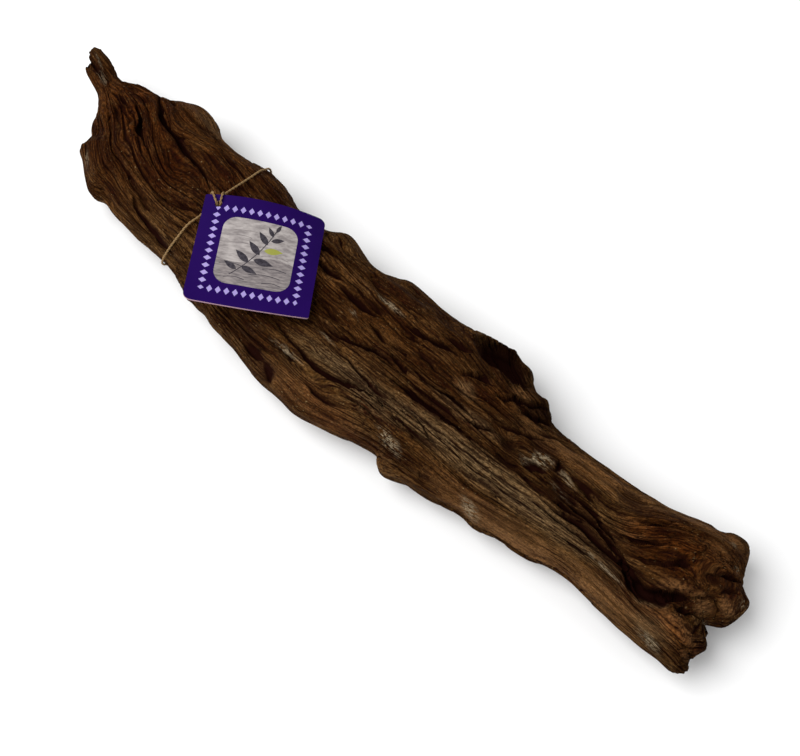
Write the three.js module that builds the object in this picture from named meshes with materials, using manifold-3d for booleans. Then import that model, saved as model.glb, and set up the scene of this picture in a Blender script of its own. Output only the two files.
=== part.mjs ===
// A driftwood log lying as it rests, with a square card tag tied on by a loop of twine.
// Millimetres. +X runs along the log from its pointed end to its split end, +Y to the back, +Z up.

import * as THREE from "three";
import { mergeVertices } from "three/addons/utils/BufferGeometryUtils.js";
import Module from "manifold-3d";

// The origin lies on the floor below the middle of everything; the lists measure from another point
const ORIGIN = [-0.35, 1.55];

// Driving dimensions of the log
const TOP_ROUNDING = 26; // how far in from the rim the top becomes level
const UNDER_ROUNDING = 22;
const ROPE_HEIGHT = 1.1; // swell of the rope-like ridges that follow the grain
const ROPE_SPACING = 12.5;
const FINE_ROPE_HEIGHT = 0.8;
const FINE_ROPE_SPACING = 7.9;
const SIDE_RIDGE_DEPTH = 0.9;
const SIDE_RIDGE_SPACING = 10;
const LEAST_FURROW_WIDTH = 5; // narrower furrows are drawn this wide

// How finely the log's skin is divided
const STATIONS = 72; // cuts along the heart line
const END_ROWS = 5; // rows of rays that fan out over each end
const RAYS_TOP = 34; // rays over the upper half of each cut
const RAYS_UNDER = 12;
const CUT_FLATNESS = 0.5; // a cut is about half as high as it is wide
const FLOOR_SNAP = 0.05; // points this near the floor lie on it

// Driving dimensions of the tag, a card that bends over the log
const TAG_SIDE = 72;
const TAG_THICKNESS = 1.3;
const TAG_CENTRE = [-59.1, -7.8, 55.1];
const TAG_SPIN_DEG = 36.7; // turn of its lower edge from +X
const TAG_LEAN = [0.177, 0.041]; // lean of its normal along X and Y
const TAG_BOW = 3.1; // how far its left and right edges hang below its middle line
const TAG_TOP_BOW = 4.2; // how much further they hang at the top edge, and less at the lower one
const TAG_TWIST = 1.9; // how far opposite corners bend down
const TAG_CORNER_RADII = [4.5, 1, 4, 1]; // lower left, lower right, top right, top left
const TAG_HOLE = [-27.4, 29.7]; // from the tag's centre
const TAG_HOLE_RADIUS = 2.2;
const TAG_CELLS = 10; // how finely the bent card is divided

// Driving dimensions of the twine
const TWINE_DIAMETER = 1.6;
const TWINE_SIDES = 8;
const TWINE_STEPS_PER_POINT = 2; // stretches of tube between two points of the route
const KNOT_CENTRE = [-99.1, -0.2, 56.5];
const KNOT_HALF_SIZE = [2.4, 1.9, 1.2];

// Plan outline, clockwise from the tip of the spike
const RIM = [
  [-273, 43], [-266, 44.5], [-256, 43.5], [-247, 39.5], [-238.5, 36.5], [-232, 38.5],
  [-228, 42], [-214, 45], [-200, 48.5], [-189.5, 54.5], [-180, 57.5], [-170, 57],
  [-163, 55], [-156, 50.5], [-140, 48], [-127.5, 48.5], [-106, 51], [-90, 48],
  [-77, 44], [-62, 43.5], [-52, 46.5], [-46, 51.5], [-40, 52.5], [-30, 50],
  [-20, 46.5], [-12, 46.5], [0, 50], [6, 53.5], [25, 53], [45, 52],
  [60, 54.5], [72, 57.5], [84, 59.5], [91, 57.5], [98, 56.5], [105, 50.5],
  [110, 48], [118, 48.5], [123, 44.5], [131, 39], [148, 38.5], [170, 39.5],
  [190, 41.5], [210, 45], [228, 51], [235, 52], [242, 57.5], [252, 59],
  [257.5, 53], [260, 44.5], [265, 35.5], [270.5, 33], [272, 28], [271.5, 19],
  [268.5, 11], [260.5, 5.5], [266.5, 1], [270, -3], [267.5, -13.5], [269.5, -20.5],
  [264, -26], [252.5, -26], [236, -25.5], [216, -25], [190, -23.5], [178, -25.5],
  [168, -29], [150, -32], [136, -35.5], [124, -35.5], [110, -39.5], [92, -43],
  [76, -47.5], [67, -41.5], [55, -44.5], [36, -50.5], [16, -55], [5, -54.5],
  [-12, -54], [-30, -51], [-42, -48.5], [-60, -47], [-70, -44.5], [-86, -44],
  [-104, -38], [-120, -36.5], [-150, -36.5], [-165, -35], [-175, -33], [-184, -35.5],
  [-196, -30], [-208, -22], [-216, -16.5], [-214.5, -8.5], [-223.5, 0.5], [-230, 9],
  [-240, 18.5], [-256, 26], [-266, 31.5],
];

// Heights along the log, as [x, z]: its widest line, its crest and its belly
const WIDEST = [[-272, 31], [-240, 27], [-200, 24], [-100, 24], [0, 23], [100, 23], [200, 22], [268, 21]];
const CREST = [
  [-272, 35], [-255, 37], [-235, 39], [-200, 43], [-150, 47], [-100, 49], [-55, 45], [-20, 42.5], [0, 44],
  [50, 48], [100, 47], [128, 44], [150, 44], [200, 45], [240, 43], [268, 34],
];
const BELLY = [
  [-272, 26], [-250, 17], [-225, 9], [-190, 6], [-150, 6], [-118, 9], [-100, 4], [-85, -1.5], [-50, -2],
  [-30, 2], [20, 5], [70, 3], [100, -1.5], [180, -2], [205, 1], [240, 6], [268, 15],
];

// Lines that the grain follows from end to end, front to back, as [x, y]
const GRAIN = [
  [[-272, 12], [-215, -16], [-184, -34], [-110, -38], [0, -54], [70, -44], [190, -25], [270, -26]],
  [[-272, 26], [-215, 2], [-180, -18], [-142, -30], [-60, -36], [5, -37], [50, -31], [120, -29],
    [190, -18], [228, -20], [270, -19]],
  [[-272, 34], [-235, 22], [-205, 8], [-185, -6], [-150, -15], [-60, -22], [5, -21], [50, -20],
    [110, -17], [160, -13], [205, -10], [230, -15], [270, -12]],
  [[-272, 38], [-240, 30], [-200, 22], [-185, 13], [-168, 2], [-110, -6], [-12, -11.5], [60, -10.5],
    [110, -8], [160, -5], [212, -6], [240, 0], [270, 6]],
  [[-272, 41], [-230, 34], [-200, 32], [-173, 20], [-150, 16.5], [-112, 4], [-20, 0], [50, -2],
    [100, -0.5], [150, 4], [185, 5], [210, 9], [228, 20], [245, 28], [270, 32]],
  [[-272, 44], [-230, 37], [-195, 40], [-170, 28], [-137, 33], [-91, 22], [-30, 19], [15, 13],
    [60, 11], [126, 13], [170, 13], [195, 14], [215, 28], [235, 40], [270, 48]],
  [[-272, 47], [-214, 44], [-180, 56], [-140, 48], [-90, 47], [-40, 47], [0, 42], [60, 33],
    [95, 26], [125, 24], [155, 30], [190, 33], [225, 50], [250, 58], [270, 62]],
];

// Furrows in the top, as [width, depth, [x, y], ...]
const FURROWS = [
  // towards the pointed end
  [9, 9, [-206, 42.5], [-199, 37], [-190, 30], [-181, 25.5]],
  [6, 8, [-181, 25.5], [-172, 21.5], [-162, 20], [-148, 20], [-137, 16], [-122, 10.5], [-112, 6]],
  [5, 8, [-197, 24], [-192, 18], [-185, 12], [-178, 6]],
  [4, 4, [-204, 50], [-194, 46], [-186, 42]],
  [4, 3, [-229, 26], [-215, 22], [-205, 19], [-197, 18]],
  [6, 3, [-222, 17], [-212, 14], [-205, 10], [-197, 6]],
  [5, 4, [-264, 34], [-256, 31], [-248, 29]],
  [4, 3, [-182, 35], [-170, 31], [-160, 30]],
  [5, 3, [-172, -7], [-160, -10], [-152, -13]],
  [4, 3, [-167, -16], [-150, -21], [-142, -24]],
  [4, 3, [-146, -28], [-130, -28.5], [-115, -30], [-106, -31]],
  [4, 4, [-142, 40], [-134, 37]],
  [4, 4, [-109, 31], [-100, 29], [-88, 23]],
  // between the tag and the middle
  [4, 3, [-42, 28], [-30, 26.5]],
  [5, 4, [-30, 20.5], [-17, 19.5]],
  [6, 8, [-13, 15], [-4, 14.5], [8, 15], [15, 15.5], [20, 18]],
  [4, 4, [-17, -0.5], [-5, -1], [3, -2]],
  [4, 4, [-13, -10], [0, -10.5], [10, -11], [24, -9]],
  [4, 5, [-21, -25], [-10, -25.5], [4, -27]],
  [4, 4, [4, -19.5], [22, -18], [40, -17.5], [60, -19], [76, -21]],
  [4, 5, [0, -32.5], [20, -31.5], [38, -27], [56, -23.5], [78, -24.5]],
  [8, 7, [-16, -50], [-8, -50.5], [-2, -47]],
  // the middle
  [5, 5, [35, 22.5], [50, 22.5], [58, 24], [68, 23.5]],
  [4, 4, [46, 13.5], [55, 12], [66, 13]],
  [4, 5, [18, -5.5], [27, -4], [48, -4.5]],
  [6, 7, [50, -9.5], [66, -8.5], [80, -8], [90, -6], [112, -6.5]],
  [5, 5, [60, 5], [70, 5], [80, 4.5]],
  [4, 4, [62, 9.5], [83, 8], [92, 10.5], [108, 12], [128, 14.5]],
  [4, 4, [77, 1.5], [101, 1], [117, 5.5]],
  [5, 5, [79, 21], [86, 24], [94, 25.5]],
  [8, 11, [104, 22], [109, 27], [115, 30], [120, 34], [123, 42]],
  [6, 5, [58, 32], [75, 32], [97, 32]],
  // towards the split end
  [4, 4, [122, 22], [131, 22.5], [140, 25.5], [152, 29.5], [166, 32]],
  [14, 6, [140, -3], [165, -4], [190, -3.5], [205, -3], [216, -7]],
  [5, 5, [150, -11], [165, -11], [185, -9.5], [211, -8], [222, -11], [230, -15]],
  [5, 4, [158, 14], [172, 13], [184, 8]],
  [5, 5, [202, 18], [208, 24], [213, 30], [217, 35]],
  [5, 4, [198, 7], [208, 9.5], [214, 15], [220, 22], [228, 33]],
  [5, 4, [224, 7], [231, 16], [237, 22]],
  [5, 4, [243, -3], [248, -4.5], [257, 3]],
  [4, 4, [253, 25], [258, 33]],
];

// Hollows in the top, as [x, y, half length, half width, turn in degrees, depth]
const HOLLOWS = [
  [83, 42, 16, 7.5, 2, 21], // the deep hole by the back edge
  [193, 27, 10, 8, 0, 7],
  [226, -9.5, 11, 5, -8, 13],
  [240.5, 0, 9, 4.5, 62, 17],
  [101, -36, 4, 4, 0, 2.5],
];

// Furrows and hollows in the underside
const UNDER_FURROWS = [
  [8, 6, [-238, 26], [-215, 17], [-190, 7], [-165, 0], [-140, -5]],
  [6, 5, [-200, 36], [-170, 33], [-135, 27], [-112, 25]],
  [6, 4, [-165, -20], [-140, -25], [-112, -27]],
  [9, 7, [-48, 20], [-15, 15], [25, 15], [62, 20], [95, 27]],
  [8, 6, [-42, -18], [-5, -25], [40, -27], [84, -24]],
  [6, 5, [-30, -1], [20, -5], [70, -6], [98, -4]],
  [6, 5, [15, 36], [45, 38], [75, 36]],
  [8, 6, [190, 12], [212, 19], [234, 31]],
  [7, 5, [184, -8], [214, -9], [248, -13]],
];
const UNDER_HOLLOWS = [
  [-20, 34, 17, 8, 8, 7],
  [55, 8, 22, 9, -4, 6],
  [-205, 28, 14, 6, -35, 6],
];

// Broad rises of the top, in the same form with heights for depths
const RISES = [
  [70, 34, 52, 24, 0, 4],
  [216, 22, 34, 20, 14, 5],
  [205, -17, 34, 8, -2, 3],
  [-172, 2, 34, 22, -30, 2.5],
  [-90, -8, 48, 30, 0, 5],
  [-58, -6, 44, 34, 37, 4.4],
];

// Heart line, from which every ray starts, as [x, y, z]
const HEART = [
  [-258, 36.5, 31], [-240, 28.5, 28], [-222, 20, 25], [-195, 14, 22], [-150, 8, 22], [-100, 4, 22],
  [-50, 0, 20], [0, -2, 20], [50, 1, 20], [100, 2, 19], [130, 1, 18], [170, 5, 17],
  [210, 9, 16], [246, 13, 15],
];

// Route of the twine's centre line: from the knot up through the tag's hole, over its top edge, round the
// log by the back, under the tag's corner, over the edge again and down into the knot
const TWINE_ROUTE = [
  [-98.3, 0.4, 56.6], [-98, 0.5, 58.3], [-97.7, 0.5, 59.8], [-97.8, 1, 60.8], [-98.6, 2.1, 61.3],
  [-99.5, 3.5, 61.3], [-100.7, 5.1, 61.4], [-101.8, 6.7, 60.8], [-102.4, 7.5, 58.9], [-103.4, 8.8, 55.6],
  [-104.6, 11.2, 53.9], [-105.2, 18, 52], [-105.9, 30, 49], [-106.8, 40, 46.2], [-107.9, 44.2, 42.4],
  [-109.1, 47.9, 38.7], [-110.6, 50.3, 33.6], [-112.8, 51.9, 26.6], [-114.4, 51.2, 21.3],
  [-116.2, 48.2, 15.6], [-117.2, 44, 12.3], [-118.4, 33, 8.4], [-119, 8, 6.2], [-118.9, -10, 6.7],
  [-117.7, -29.6, 10.7], [-116.3, -34.6, 15.2], [-114.2, -37.9, 22], [-112.2, -38.1, 28.5],
  [-109.5, -34.4, 37.2], [-106.4, -26.7, 47.2], [-104.5, -19.9, 53.4], [-103.1, -9.8, 55.1],
  [-106.8, -1.6, 54.8], [-108, 1.4, 56], [-108.2, 3.1, 58.1], [-107, 3.1, 60.2], [-104.9, 2, 60.9],
  [-103, 1, 60.9], [-101, 0, 61], [-99.7, -0.5, 60.6], [-99.3, -0.8, 59.6], [-99.6, -0.7, 58.2],
  [-99.9, -0.8, 56.5],
];

// A value between the entries of a list of [x, value] pairs, by a smooth curve through them.
function along(list, x) {
  const last = list.length - 1;
  if (x <= list[0][0]) return list[0][1];
  if (x >= list[last][0]) return list[last][1];
  let i = 0;
  while (x > list[i + 1][0]) i++;
  const [x1, v1] = list[i];
  const [x2, v2] = list[i + 1];
  const [x0, v0] = list[Math.max(i - 1, 0)];
  const [x3, v3] = list[Math.min(i + 2, last)];
  const span = x2 - x1;
  const slope1 = (v2 - v0) / (x2 - x0);
  const slope2 = (v3 - v1) / (x3 - x1);
  const t = (x - x1) / span;
  return (
    v1 * (1 + 2 * t) * (1 - t) ** 2 + slope1 * span * t * (1 - t) ** 2 +
    v2 * t * t * (3 - 2 * t) + slope2 * span * t * t * (t - 1)
  );
}

// Distance of a plan point from the stretch between two others.
function stretchDistance(x, y, ax, ay, bx, by) {
  const ex = bx - ax;
  const ey = by - ay;
  const t = THREE.MathUtils.clamp(((x - ax) * ex + (y - ay) * ey) / (ex * ex + ey * ey), 0, 1);
  return Math.hypot(x - ax - t * ex, y - ay - t * ey);
}

// The rim as a fine closed polygon.
const rim = new THREE.CatmullRomCurve3(
  RIM.map(([x, y]) => new THREE.Vector3(x, y, 0)),
  true,
  "centripetal",
).getPoints(RIM.length * 4).slice(0, -1);

// How far a plan point lies inside the rim; negative outside.
function rimDepth(x, y) {
  let nearest = Infinity;
  let inside = false;
  for (let i = 0, j = rim.length - 1; i < rim.length; j = i++) {
    const a = rim[j];
    const b = rim[i];
    nearest = Math.min(nearest, stretchDistance(x, y, a.x, a.y, b.x, b.y));
    if (a.y > y !== b.y > y && x < ((b.x - a.x) * (y - a.y)) / (b.y - a.y) + a.x) inside = !inside;
  }
  return inside ? nearest : -nearest;
}

// Which line of grain runs through a plan point, in millimetres across the log's middle.
function grainAt(x, y) {
  const here = GRAIN.map((line) => along(line, x));
  const middle = GRAIN.map((line) => along(line, 0));
  let i = 0;
  while (i < GRAIN.length - 2 && y > here[i + 1]) i++;
  const t = (y - here[i]) / (here[i + 1] - here[i]);
  return middle[i] + t * (middle[i + 1] - middle[i]);
}

// Depth of furrows and hollows at a plan point.
function carved(furrows, hollows, x, y) {
  let depth = 0;
  for (const [width, deep, ...route] of furrows) {
    const spread = Math.max(width, LEAST_FURROW_WIDTH) / 2;
    for (let i = 1; i < route.length; i++) {
      const away = stretchDistance(x, y, ...route[i - 1], ...route[i]) / spread;
      depth = Math.max(depth, deep * Math.exp(-away * away));
    }
  }
  for (const hollow of hollows) depth = Math.max(depth, hollow[5] * (1 - ovalRatio(hollow, x, y) ** 4));
  return depth;
}

// Where a plan point lies in an oval: 0 at its centre, 1 on or beyond its edge.
function ovalRatio([cx, cy, long, wide, turn], x, y) {
  const angle = THREE.MathUtils.degToRad(turn);
  const dx = (x - cx) * Math.cos(angle) + (y - cy) * Math.sin(angle);
  const dy = (y - cy) * Math.cos(angle) - (x - cx) * Math.sin(angle);
  return Math.min(Math.hypot(dx / long, dy / wide), 1);
}

// Height of the broad rises at a plan point.
function raised(x, y) {
  return RISES.reduce((sum, rise) => sum + rise[5] * (1 - ovalRatio(rise, x, y) ** 2) ** 2, 0);
}

// Rope-like swell that follows the grain.
function ropes(x, y, z) {
  const across = grainAt(x, y);
  const turn = 2 * Math.PI;
  const broad = Math.sin((turn * (across + 0.4 * z)) / ROPE_SPACING + 1.3 * Math.sin(x / 43 + across / 19));
  const fine = Math.sin((turn * (across - 0.3 * z)) / FINE_ROPE_SPACING + 1.7 * Math.sin(x / 31 + 1.3));
  return ROPE_HEIGHT * broad + FINE_ROPE_HEIGHT * fine;
}

// Quarter-ellipse rise from the rim, 0 to 1.
function dome(ratio) {
  const s = THREE.MathUtils.clamp(1 - ratio, 0, 1);
  return Math.sqrt(1 - s * s);
}

// True where a point lies in the wood.
function inWood(x, y, z) {
  const ridge = Math.sin((2 * Math.PI * z) / SIDE_RIDGE_SPACING + 1.4 * Math.sin(x / 37) + y / 30);
  const depth = rimDepth(x, y) - SIDE_RIDGE_DEPTH * (1 + ridge) / 2;
  if (depth <= 0 || z < 0) return false;
  const widest = along(WIDEST, x);
  if (z > widest) {
    const crest = along(CREST, x) + raised(x, y) + ropes(x, y, 0);
    const top = widest + (crest - widest) * dome(depth / TOP_ROUNDING);
    return z < top - carved(FURROWS, HOLLOWS, x, y);
  }
  const belly = along(BELLY, x) - ropes(x, y, z);
  const under = widest - (widest - belly) * dome(depth / UNDER_ROUNDING);
  return z > under + carved(UNDER_FURROWS, UNDER_HOLLOWS, x, y);
}

// How far the wood reaches from a point of the heart line along a ray.
function reach(from, ray) {
  const at = new THREE.Vector3();
  const within = (r) => {
    at.copy(from).addScaledVector(ray, r);
    return inWood(at.x, at.y, at.z);
  };
  let near = 0;
  let far = 1;
  while (within(far)) {
    near = far;
    far += 1;
  }
  for (let i = 0; i < 12; i++) {
    const middle = (near + far) / 2;
    if (within(middle)) near = middle;
    else far = middle;
  }
  return near;
}

// The skin of the log, as rings of points around the heart line closed by a point at each end.
function logGeometry() {
  const heart = new THREE.CatmullRomCurve3(
    HEART.map(([x, y, z]) => new THREE.Vector3(x, y, z)),
    false,
    "centripetal",
  );
  const angles = [];
  for (let i = 0; i < RAYS_TOP; i++) angles.push((Math.PI * i) / RAYS_TOP);
  for (let i = 0; i < RAYS_UNDER; i++) angles.push(Math.PI + (Math.PI * i) / RAYS_UNDER);

  const points = [];
  const addPoint = (from, ray) => {
    const at = from.clone().addScaledVector(ray, reach(from, ray));
    if (at.z < FLOOR_SNAP) at.z = 0;
    points.push(at.x, at.y, at.z);
  };
  const forwardAt = (u) => heart.getTangent(u).setZ(0).normalize();
  const addRing = (u, lean) => {
    const from = heart.getPoint(u);
    const forward = forwardAt(u);
    const across = new THREE.Vector3(-forward.y, forward.x, 0);
    for (const angle of angles) {
      const ray = across.clone().multiplyScalar(Math.cos(angle));
      ray.z = CUT_FLATNESS * Math.sin(angle);
      ray.normalize().multiplyScalar(Math.cos(lean)).addScaledVector(forward, Math.sin(lean));
      addPoint(from, ray);
    }
  };
  const leans = Array.from({ length: END_ROWS }, (_, k) => ((k + 1) * Math.PI) / 2 / (END_ROWS + 1));
  addPoint(heart.getPoint(0), forwardAt(0).negate());
  for (const lean of leans.toReversed()) addRing(0, -lean);
  for (let i = 0; i <= STATIONS; i++) addRing(i / STATIONS, 0);
  for (const lean of leans) addRing(1, lean);
  addPoint(heart.getPoint(1), forwardAt(1));

  const around = angles.length;
  const rings = STATIONS + 1 + 2 * END_ROWS;
  const at = (ring, ray) => 1 + ring * around + (ray % around);
  const last = 1 + rings * around;
  const faces = [];
  for (let ray = 0; ray < around; ray++) {
    faces.push(0, at(0, ray + 1), at(0, ray));
    faces.push(last, at(rings - 1, ray), at(rings - 1, ray + 1));
    for (let ring = 0; ring < rings - 1; ring++) {
      const [a, b, c, d] = [at(ring, ray), at(ring, ray + 1), at(ring + 1, ray + 1), at(ring + 1, ray)];
      faces.push(a, c, d, a, b, c);
    }
  }
  const geometry = new THREE.BufferGeometry();
  geometry.setAttribute("position", new THREE.Float32BufferAttribute(points, 3));
  geometry.setIndex(faces);
  return geometry;
}

const wasm = await Module();
wasm.setup();

// A closed geometry as a solid that can be joined and cut.
function solidOf(geometry) {
  const bare = geometry.clone();
  bare.deleteAttribute("normal");
  bare.deleteAttribute("uv");
  const merged = mergeVertices(bare);
  return new wasm.Manifold(
    new wasm.Mesh({
      numProp: 3,
      vertProperties: merged.attributes.position.array,
      triVerts: new Uint32Array(merged.index.array),
    }),
  );
}

// A solid's surface as a geometry.
function geometryOf(solid) {
  const mesh = solid.getMesh();
  const geometry = new THREE.BufferGeometry();
  geometry.setAttribute("position", new THREE.BufferAttribute(mesh.vertProperties, 3));
  geometry.setIndex(new THREE.BufferAttribute(mesh.triVerts, 1));
  return geometry;
}

// Height of the bent card above its plane, from a place measured off its centre.
function tagBend(x, y) {
  const across = (2 * x) / TAG_SIDE;
  const up = (2 * y) / TAG_SIDE;
  return -across * (across * (TAG_BOW + TAG_TOP_BOW * up) + TAG_TWIST * up);
}

// The card, lying on its own plane: a bent sheet cut to the outline.
function tagGeometry() {
  const sheet = new THREE.BoxGeometry(TAG_SIDE + 2, TAG_SIDE + 2, TAG_THICKNESS, TAG_CELLS, TAG_CELLS, 1);
  const places = sheet.attributes.position;
  for (let i = 0; i < places.count; i++) {
    places.setZ(i, places.getZ(i) + tagBend(places.getX(i), places.getY(i)));
  }

  const half = TAG_SIDE / 2;
  const [lowerLeft, lowerRight, topRight, topLeft] = TAG_CORNER_RADII;
  const outline = new THREE.Shape()
    .absarc(half - lowerRight, lowerRight - half, lowerRight, -Math.PI / 2, 0)
    .absarc(half - topRight, half - topRight, topRight, 0, Math.PI / 2)
    .absarc(topLeft - half, half - topLeft, topLeft, Math.PI / 2, Math.PI)
    .absarc(lowerLeft - half, lowerLeft - half, lowerLeft, Math.PI, 1.5 * Math.PI);
  outline.holes.push(new THREE.Path().absarc(...TAG_HOLE, TAG_HOLE_RADIUS, 0, 2 * Math.PI));
  const cutter = new THREE.ExtrudeGeometry(outline, {
    depth: TAG_SIDE,
    bevelEnabled: false,
    curveSegments: 5,
  }).translate(0, 0, -half);
  return geometryOf(solidOf(sheet).intersect(solidOf(cutter)));
}

// Where the tag's plane lies over the log.
function tagPlacement() {
  const normal = new THREE.Vector3(...TAG_LEAN, 1).normalize();
  const spin = THREE.MathUtils.degToRad(TAG_SPIN_DEG);
  const rightward = new THREE.Vector3(Math.cos(spin), Math.sin(spin), 0);
  rightward.z = -rightward.dot(normal) / normal.z;
  rightward.normalize();
  const upward = new THREE.Vector3().crossVectors(normal, rightward);
  return new THREE.Matrix4().makeBasis(rightward, upward, normal).setPosition(...TAG_CENTRE);
}

// The loop of twine, whose ends meet in the knot below the tag's hole.
function twineGeometry() {
  const route = new THREE.CatmullRomCurve3(
    TWINE_ROUTE.map((point) => new THREE.Vector3(...point)),
    false,
    "centripetal",
  );
  route.getUtoTmapping = (u) => u; // steps fall evenly between the route's points
  const section = new THREE.Shape();
  for (let i = 0; i < TWINE_SIDES; i++) {
    const angle = (2 * Math.PI * i) / TWINE_SIDES;
    const corner = [Math.cos(angle), Math.sin(angle)].map((part) => (part * TWINE_DIAMETER) / 2);
    if (i === 0) section.moveTo(...corner);
    else section.lineTo(...corner);
  }
  const steps = TWINE_STEPS_PER_POINT * (TWINE_ROUTE.length - 1);
  const tube = new THREE.ExtrudeGeometry(section, { steps, bevelEnabled: false, extrudePath: route });
  const knot = new THREE.SphereGeometry(1, 10, 6).scale(...KNOT_HALF_SIZE).translate(...KNOT_CENTRE);
  return geometryOf(solidOf(tube).add(solidOf(knot)));
}

const wood = new THREE.MeshStandardMaterial({ color: 0x4a3020, roughness: 0.85, metalness: 0 });
const card = new THREE.MeshStandardMaterial({ color: 0x3a1076, roughness: 0.55, metalness: 0 });
const fibre = new THREE.MeshStandardMaterial({ color: 0x9a783f, roughness: 0.9, metalness: 0 });

const log = new THREE.Mesh(logGeometry(), wood);
log.name = "driftwood_log";
const tag = new THREE.Mesh(tagGeometry(), card);
tag.name = "hang_tag";
tag.applyMatrix4(tagPlacement());
const twine = new THREE.Mesh(twineGeometry(), fibre);
twine.name = "tag_string";

const group = new THREE.Group();
group.add(log, tag, twine);
group.position.set(-ORIGIN[0], -ORIGIN[1], 0);

export default group;
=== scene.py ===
"""Looks of a driftwood log with a square card tag tied on by a loop of twine.

Everything is drawn in millimetres in the drawing's frame, and placed in the model's in metres.
"""

import logging
import math
from collections.abc import Callable
from dataclasses import dataclass, field
from enum import Enum
from functools import partial

import bpy
import numpy as np
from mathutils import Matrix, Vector
from mathutils.geometry import delaunay_2d_cdt


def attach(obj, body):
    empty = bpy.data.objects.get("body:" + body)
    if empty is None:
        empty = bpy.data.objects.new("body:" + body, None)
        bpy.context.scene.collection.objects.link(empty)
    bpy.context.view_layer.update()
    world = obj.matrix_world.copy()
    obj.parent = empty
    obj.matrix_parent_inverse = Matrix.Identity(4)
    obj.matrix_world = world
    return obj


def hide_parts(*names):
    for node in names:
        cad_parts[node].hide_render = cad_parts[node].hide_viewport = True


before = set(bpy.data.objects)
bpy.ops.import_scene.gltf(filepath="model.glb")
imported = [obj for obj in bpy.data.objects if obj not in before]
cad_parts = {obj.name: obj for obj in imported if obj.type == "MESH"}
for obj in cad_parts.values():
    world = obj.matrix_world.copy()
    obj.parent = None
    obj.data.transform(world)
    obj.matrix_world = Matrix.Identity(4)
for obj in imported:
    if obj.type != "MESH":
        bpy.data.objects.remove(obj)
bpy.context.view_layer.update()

AddNode = Callable[..., bpy.types.Node]

LOG = logging.getLogger("driftwood")
BODY = "root"
MM = 0.001
ORIGIN = np.array([-0.35, 1.55, 0.0])  # where the model's origin lies in the drawing, in mm
FURROW_SPREAD = 0.3  # half width of a furrow at a third of its depth, over its whole width
FURROW_ENDS = 0.35  # share of a furrow's length over which each end tapers off
FURROW_TIP = 0.1  # least of that taper, at the very tip
WORN_FURROW = 0.4  # share of a furrow's depth that is left in the worn flats
LEDGE_EDGE = 0.8  # how far a ledge's steep side reaches, in millimetres
BOWL_DARK = 0.2  # share of a hollow's depth that counts as dark, since light reaches it


def placed(points: np.ndarray) -> np.ndarray:
    """Points of the drawing, in millimetres, as points of the model, in metres."""
    return (np.asarray(points, float) - ORIGIN) * MM


def linear(code: str) -> tuple[float, float, float, float]:
    """Turns a colour to linear light.

    Args:
        code: The colour as an sRGB hex value.

    Returns:
        Red, green, blue and a full alpha.
    """
    parts = [int(code[i : i + 2], 16) / 255 for i in (1, 3, 5)]
    light = [p / 12.92 if p <= 0.04045 else ((p + 0.055) / 1.055) ** 2.4 for p in parts]
    return (*light, 1.0)


def add_node(
    tree: bpy.types.NodeTree, kind: str, inputs: dict | None = None, **settings: object
) -> bpy.types.Node:
    """Adds a node with its settings, input values and links.

    Args:
        tree: The node tree to add to.
        kind: The node's type name.
        inputs: Input names or numbers, each with a value or an output socket to link from.
        **settings: Properties of the node.

    Returns:
        The new node.
    """
    node = tree.nodes.new(kind)
    for name, value in settings.items():
        setattr(node, name, value)
    for key, value in (inputs or {}).items():
        if isinstance(value, bpy.types.NodeSocket):
            tree.links.new(value, node.inputs[key])
        else:
            node.inputs[key].default_value = value
    return node


def new_material(name: str) -> tuple[bpy.types.Material, AddNode]:
    """Makes a material without nodes.

    Args:
        name: Its name.

    Returns:
        The material, and the function that adds nodes to it.
    """
    material = bpy.data.materials.new(name)
    material.use_nodes = True
    material.node_tree.nodes.clear()
    return material, partial(add_node, material.node_tree)


def smooth_along(table: list, x: np.ndarray) -> np.ndarray:
    """Reads a smooth curve through [place, value] pairs, level beyond its ends.

    Args:
        table: The pairs, in order of place.
        x: Places to read.

    Returns:
        The values there.
    """
    places, values = np.array(table, float).T
    x = np.clip(x, places[0], places[-1])
    i = np.clip(np.searchsorted(places[1:], x, side="left"), 0, len(places) - 2)
    before = np.maximum(i - 1, 0)
    after = np.minimum(i + 2, len(places) - 1)
    span = places[i + 1] - places[i]
    slope1 = (values[i + 1] - values[before]) / (places[i + 1] - places[before])
    slope2 = (values[after] - values[i]) / (places[after] - places[i])
    t = (x - places[i]) / span
    return (
        values[i] * (1 + 2 * t) * (1 - t) ** 2
        + slope1 * span * t * (1 - t) ** 2
        + values[i + 1] * t * t * (3 - 2 * t)
        + slope2 * span * t * t * (t - 1)
    )


def rounded_path(points: list, steps: int, closed: bool = False) -> np.ndarray:
    """A centripetal curve through points.

    Args:
        points: The points it passes through.
        steps: Stretches between two of them.
        closed: Whether it returns to the first point.

    Returns:
        Points along the curve; for an open one, both ends are among them.
    """
    p = np.array(points, float)
    if closed:
        p = np.vstack([p[-1:], p, p[:2]])
    else:
        p = np.vstack([2 * p[0] - p[1], p, 2 * p[-1] - p[-2]])
    t = (np.arange(steps) / steps)[:, None]
    out = []
    for x0, x1, x2, x3 in zip(p, p[1:], p[2:], p[3:]):
        d0, d1, d2 = (math.sqrt(np.linalg.norm(b - a)) for a, b in ((x0, x1), (x1, x2), (x2, x3)))
        m1 = d1 * ((x1 - x0) / d0 - (x2 - x0) / (d0 + d1) + (x2 - x1) / d1)
        m2 = d1 * ((x2 - x1) / d1 - (x3 - x1) / (d1 + d2) + (x3 - x2) / d2)
        square, cube = 3 * (x2 - x1) - 2 * m1 - m2, 2 * (x1 - x2) + m1 + m2
        out.append(x1 + m1 * t + square * t**2 + cube * t**3)
    path = np.vstack(out)
    return path if closed else np.vstack([path, p[-2:-1]])


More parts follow.
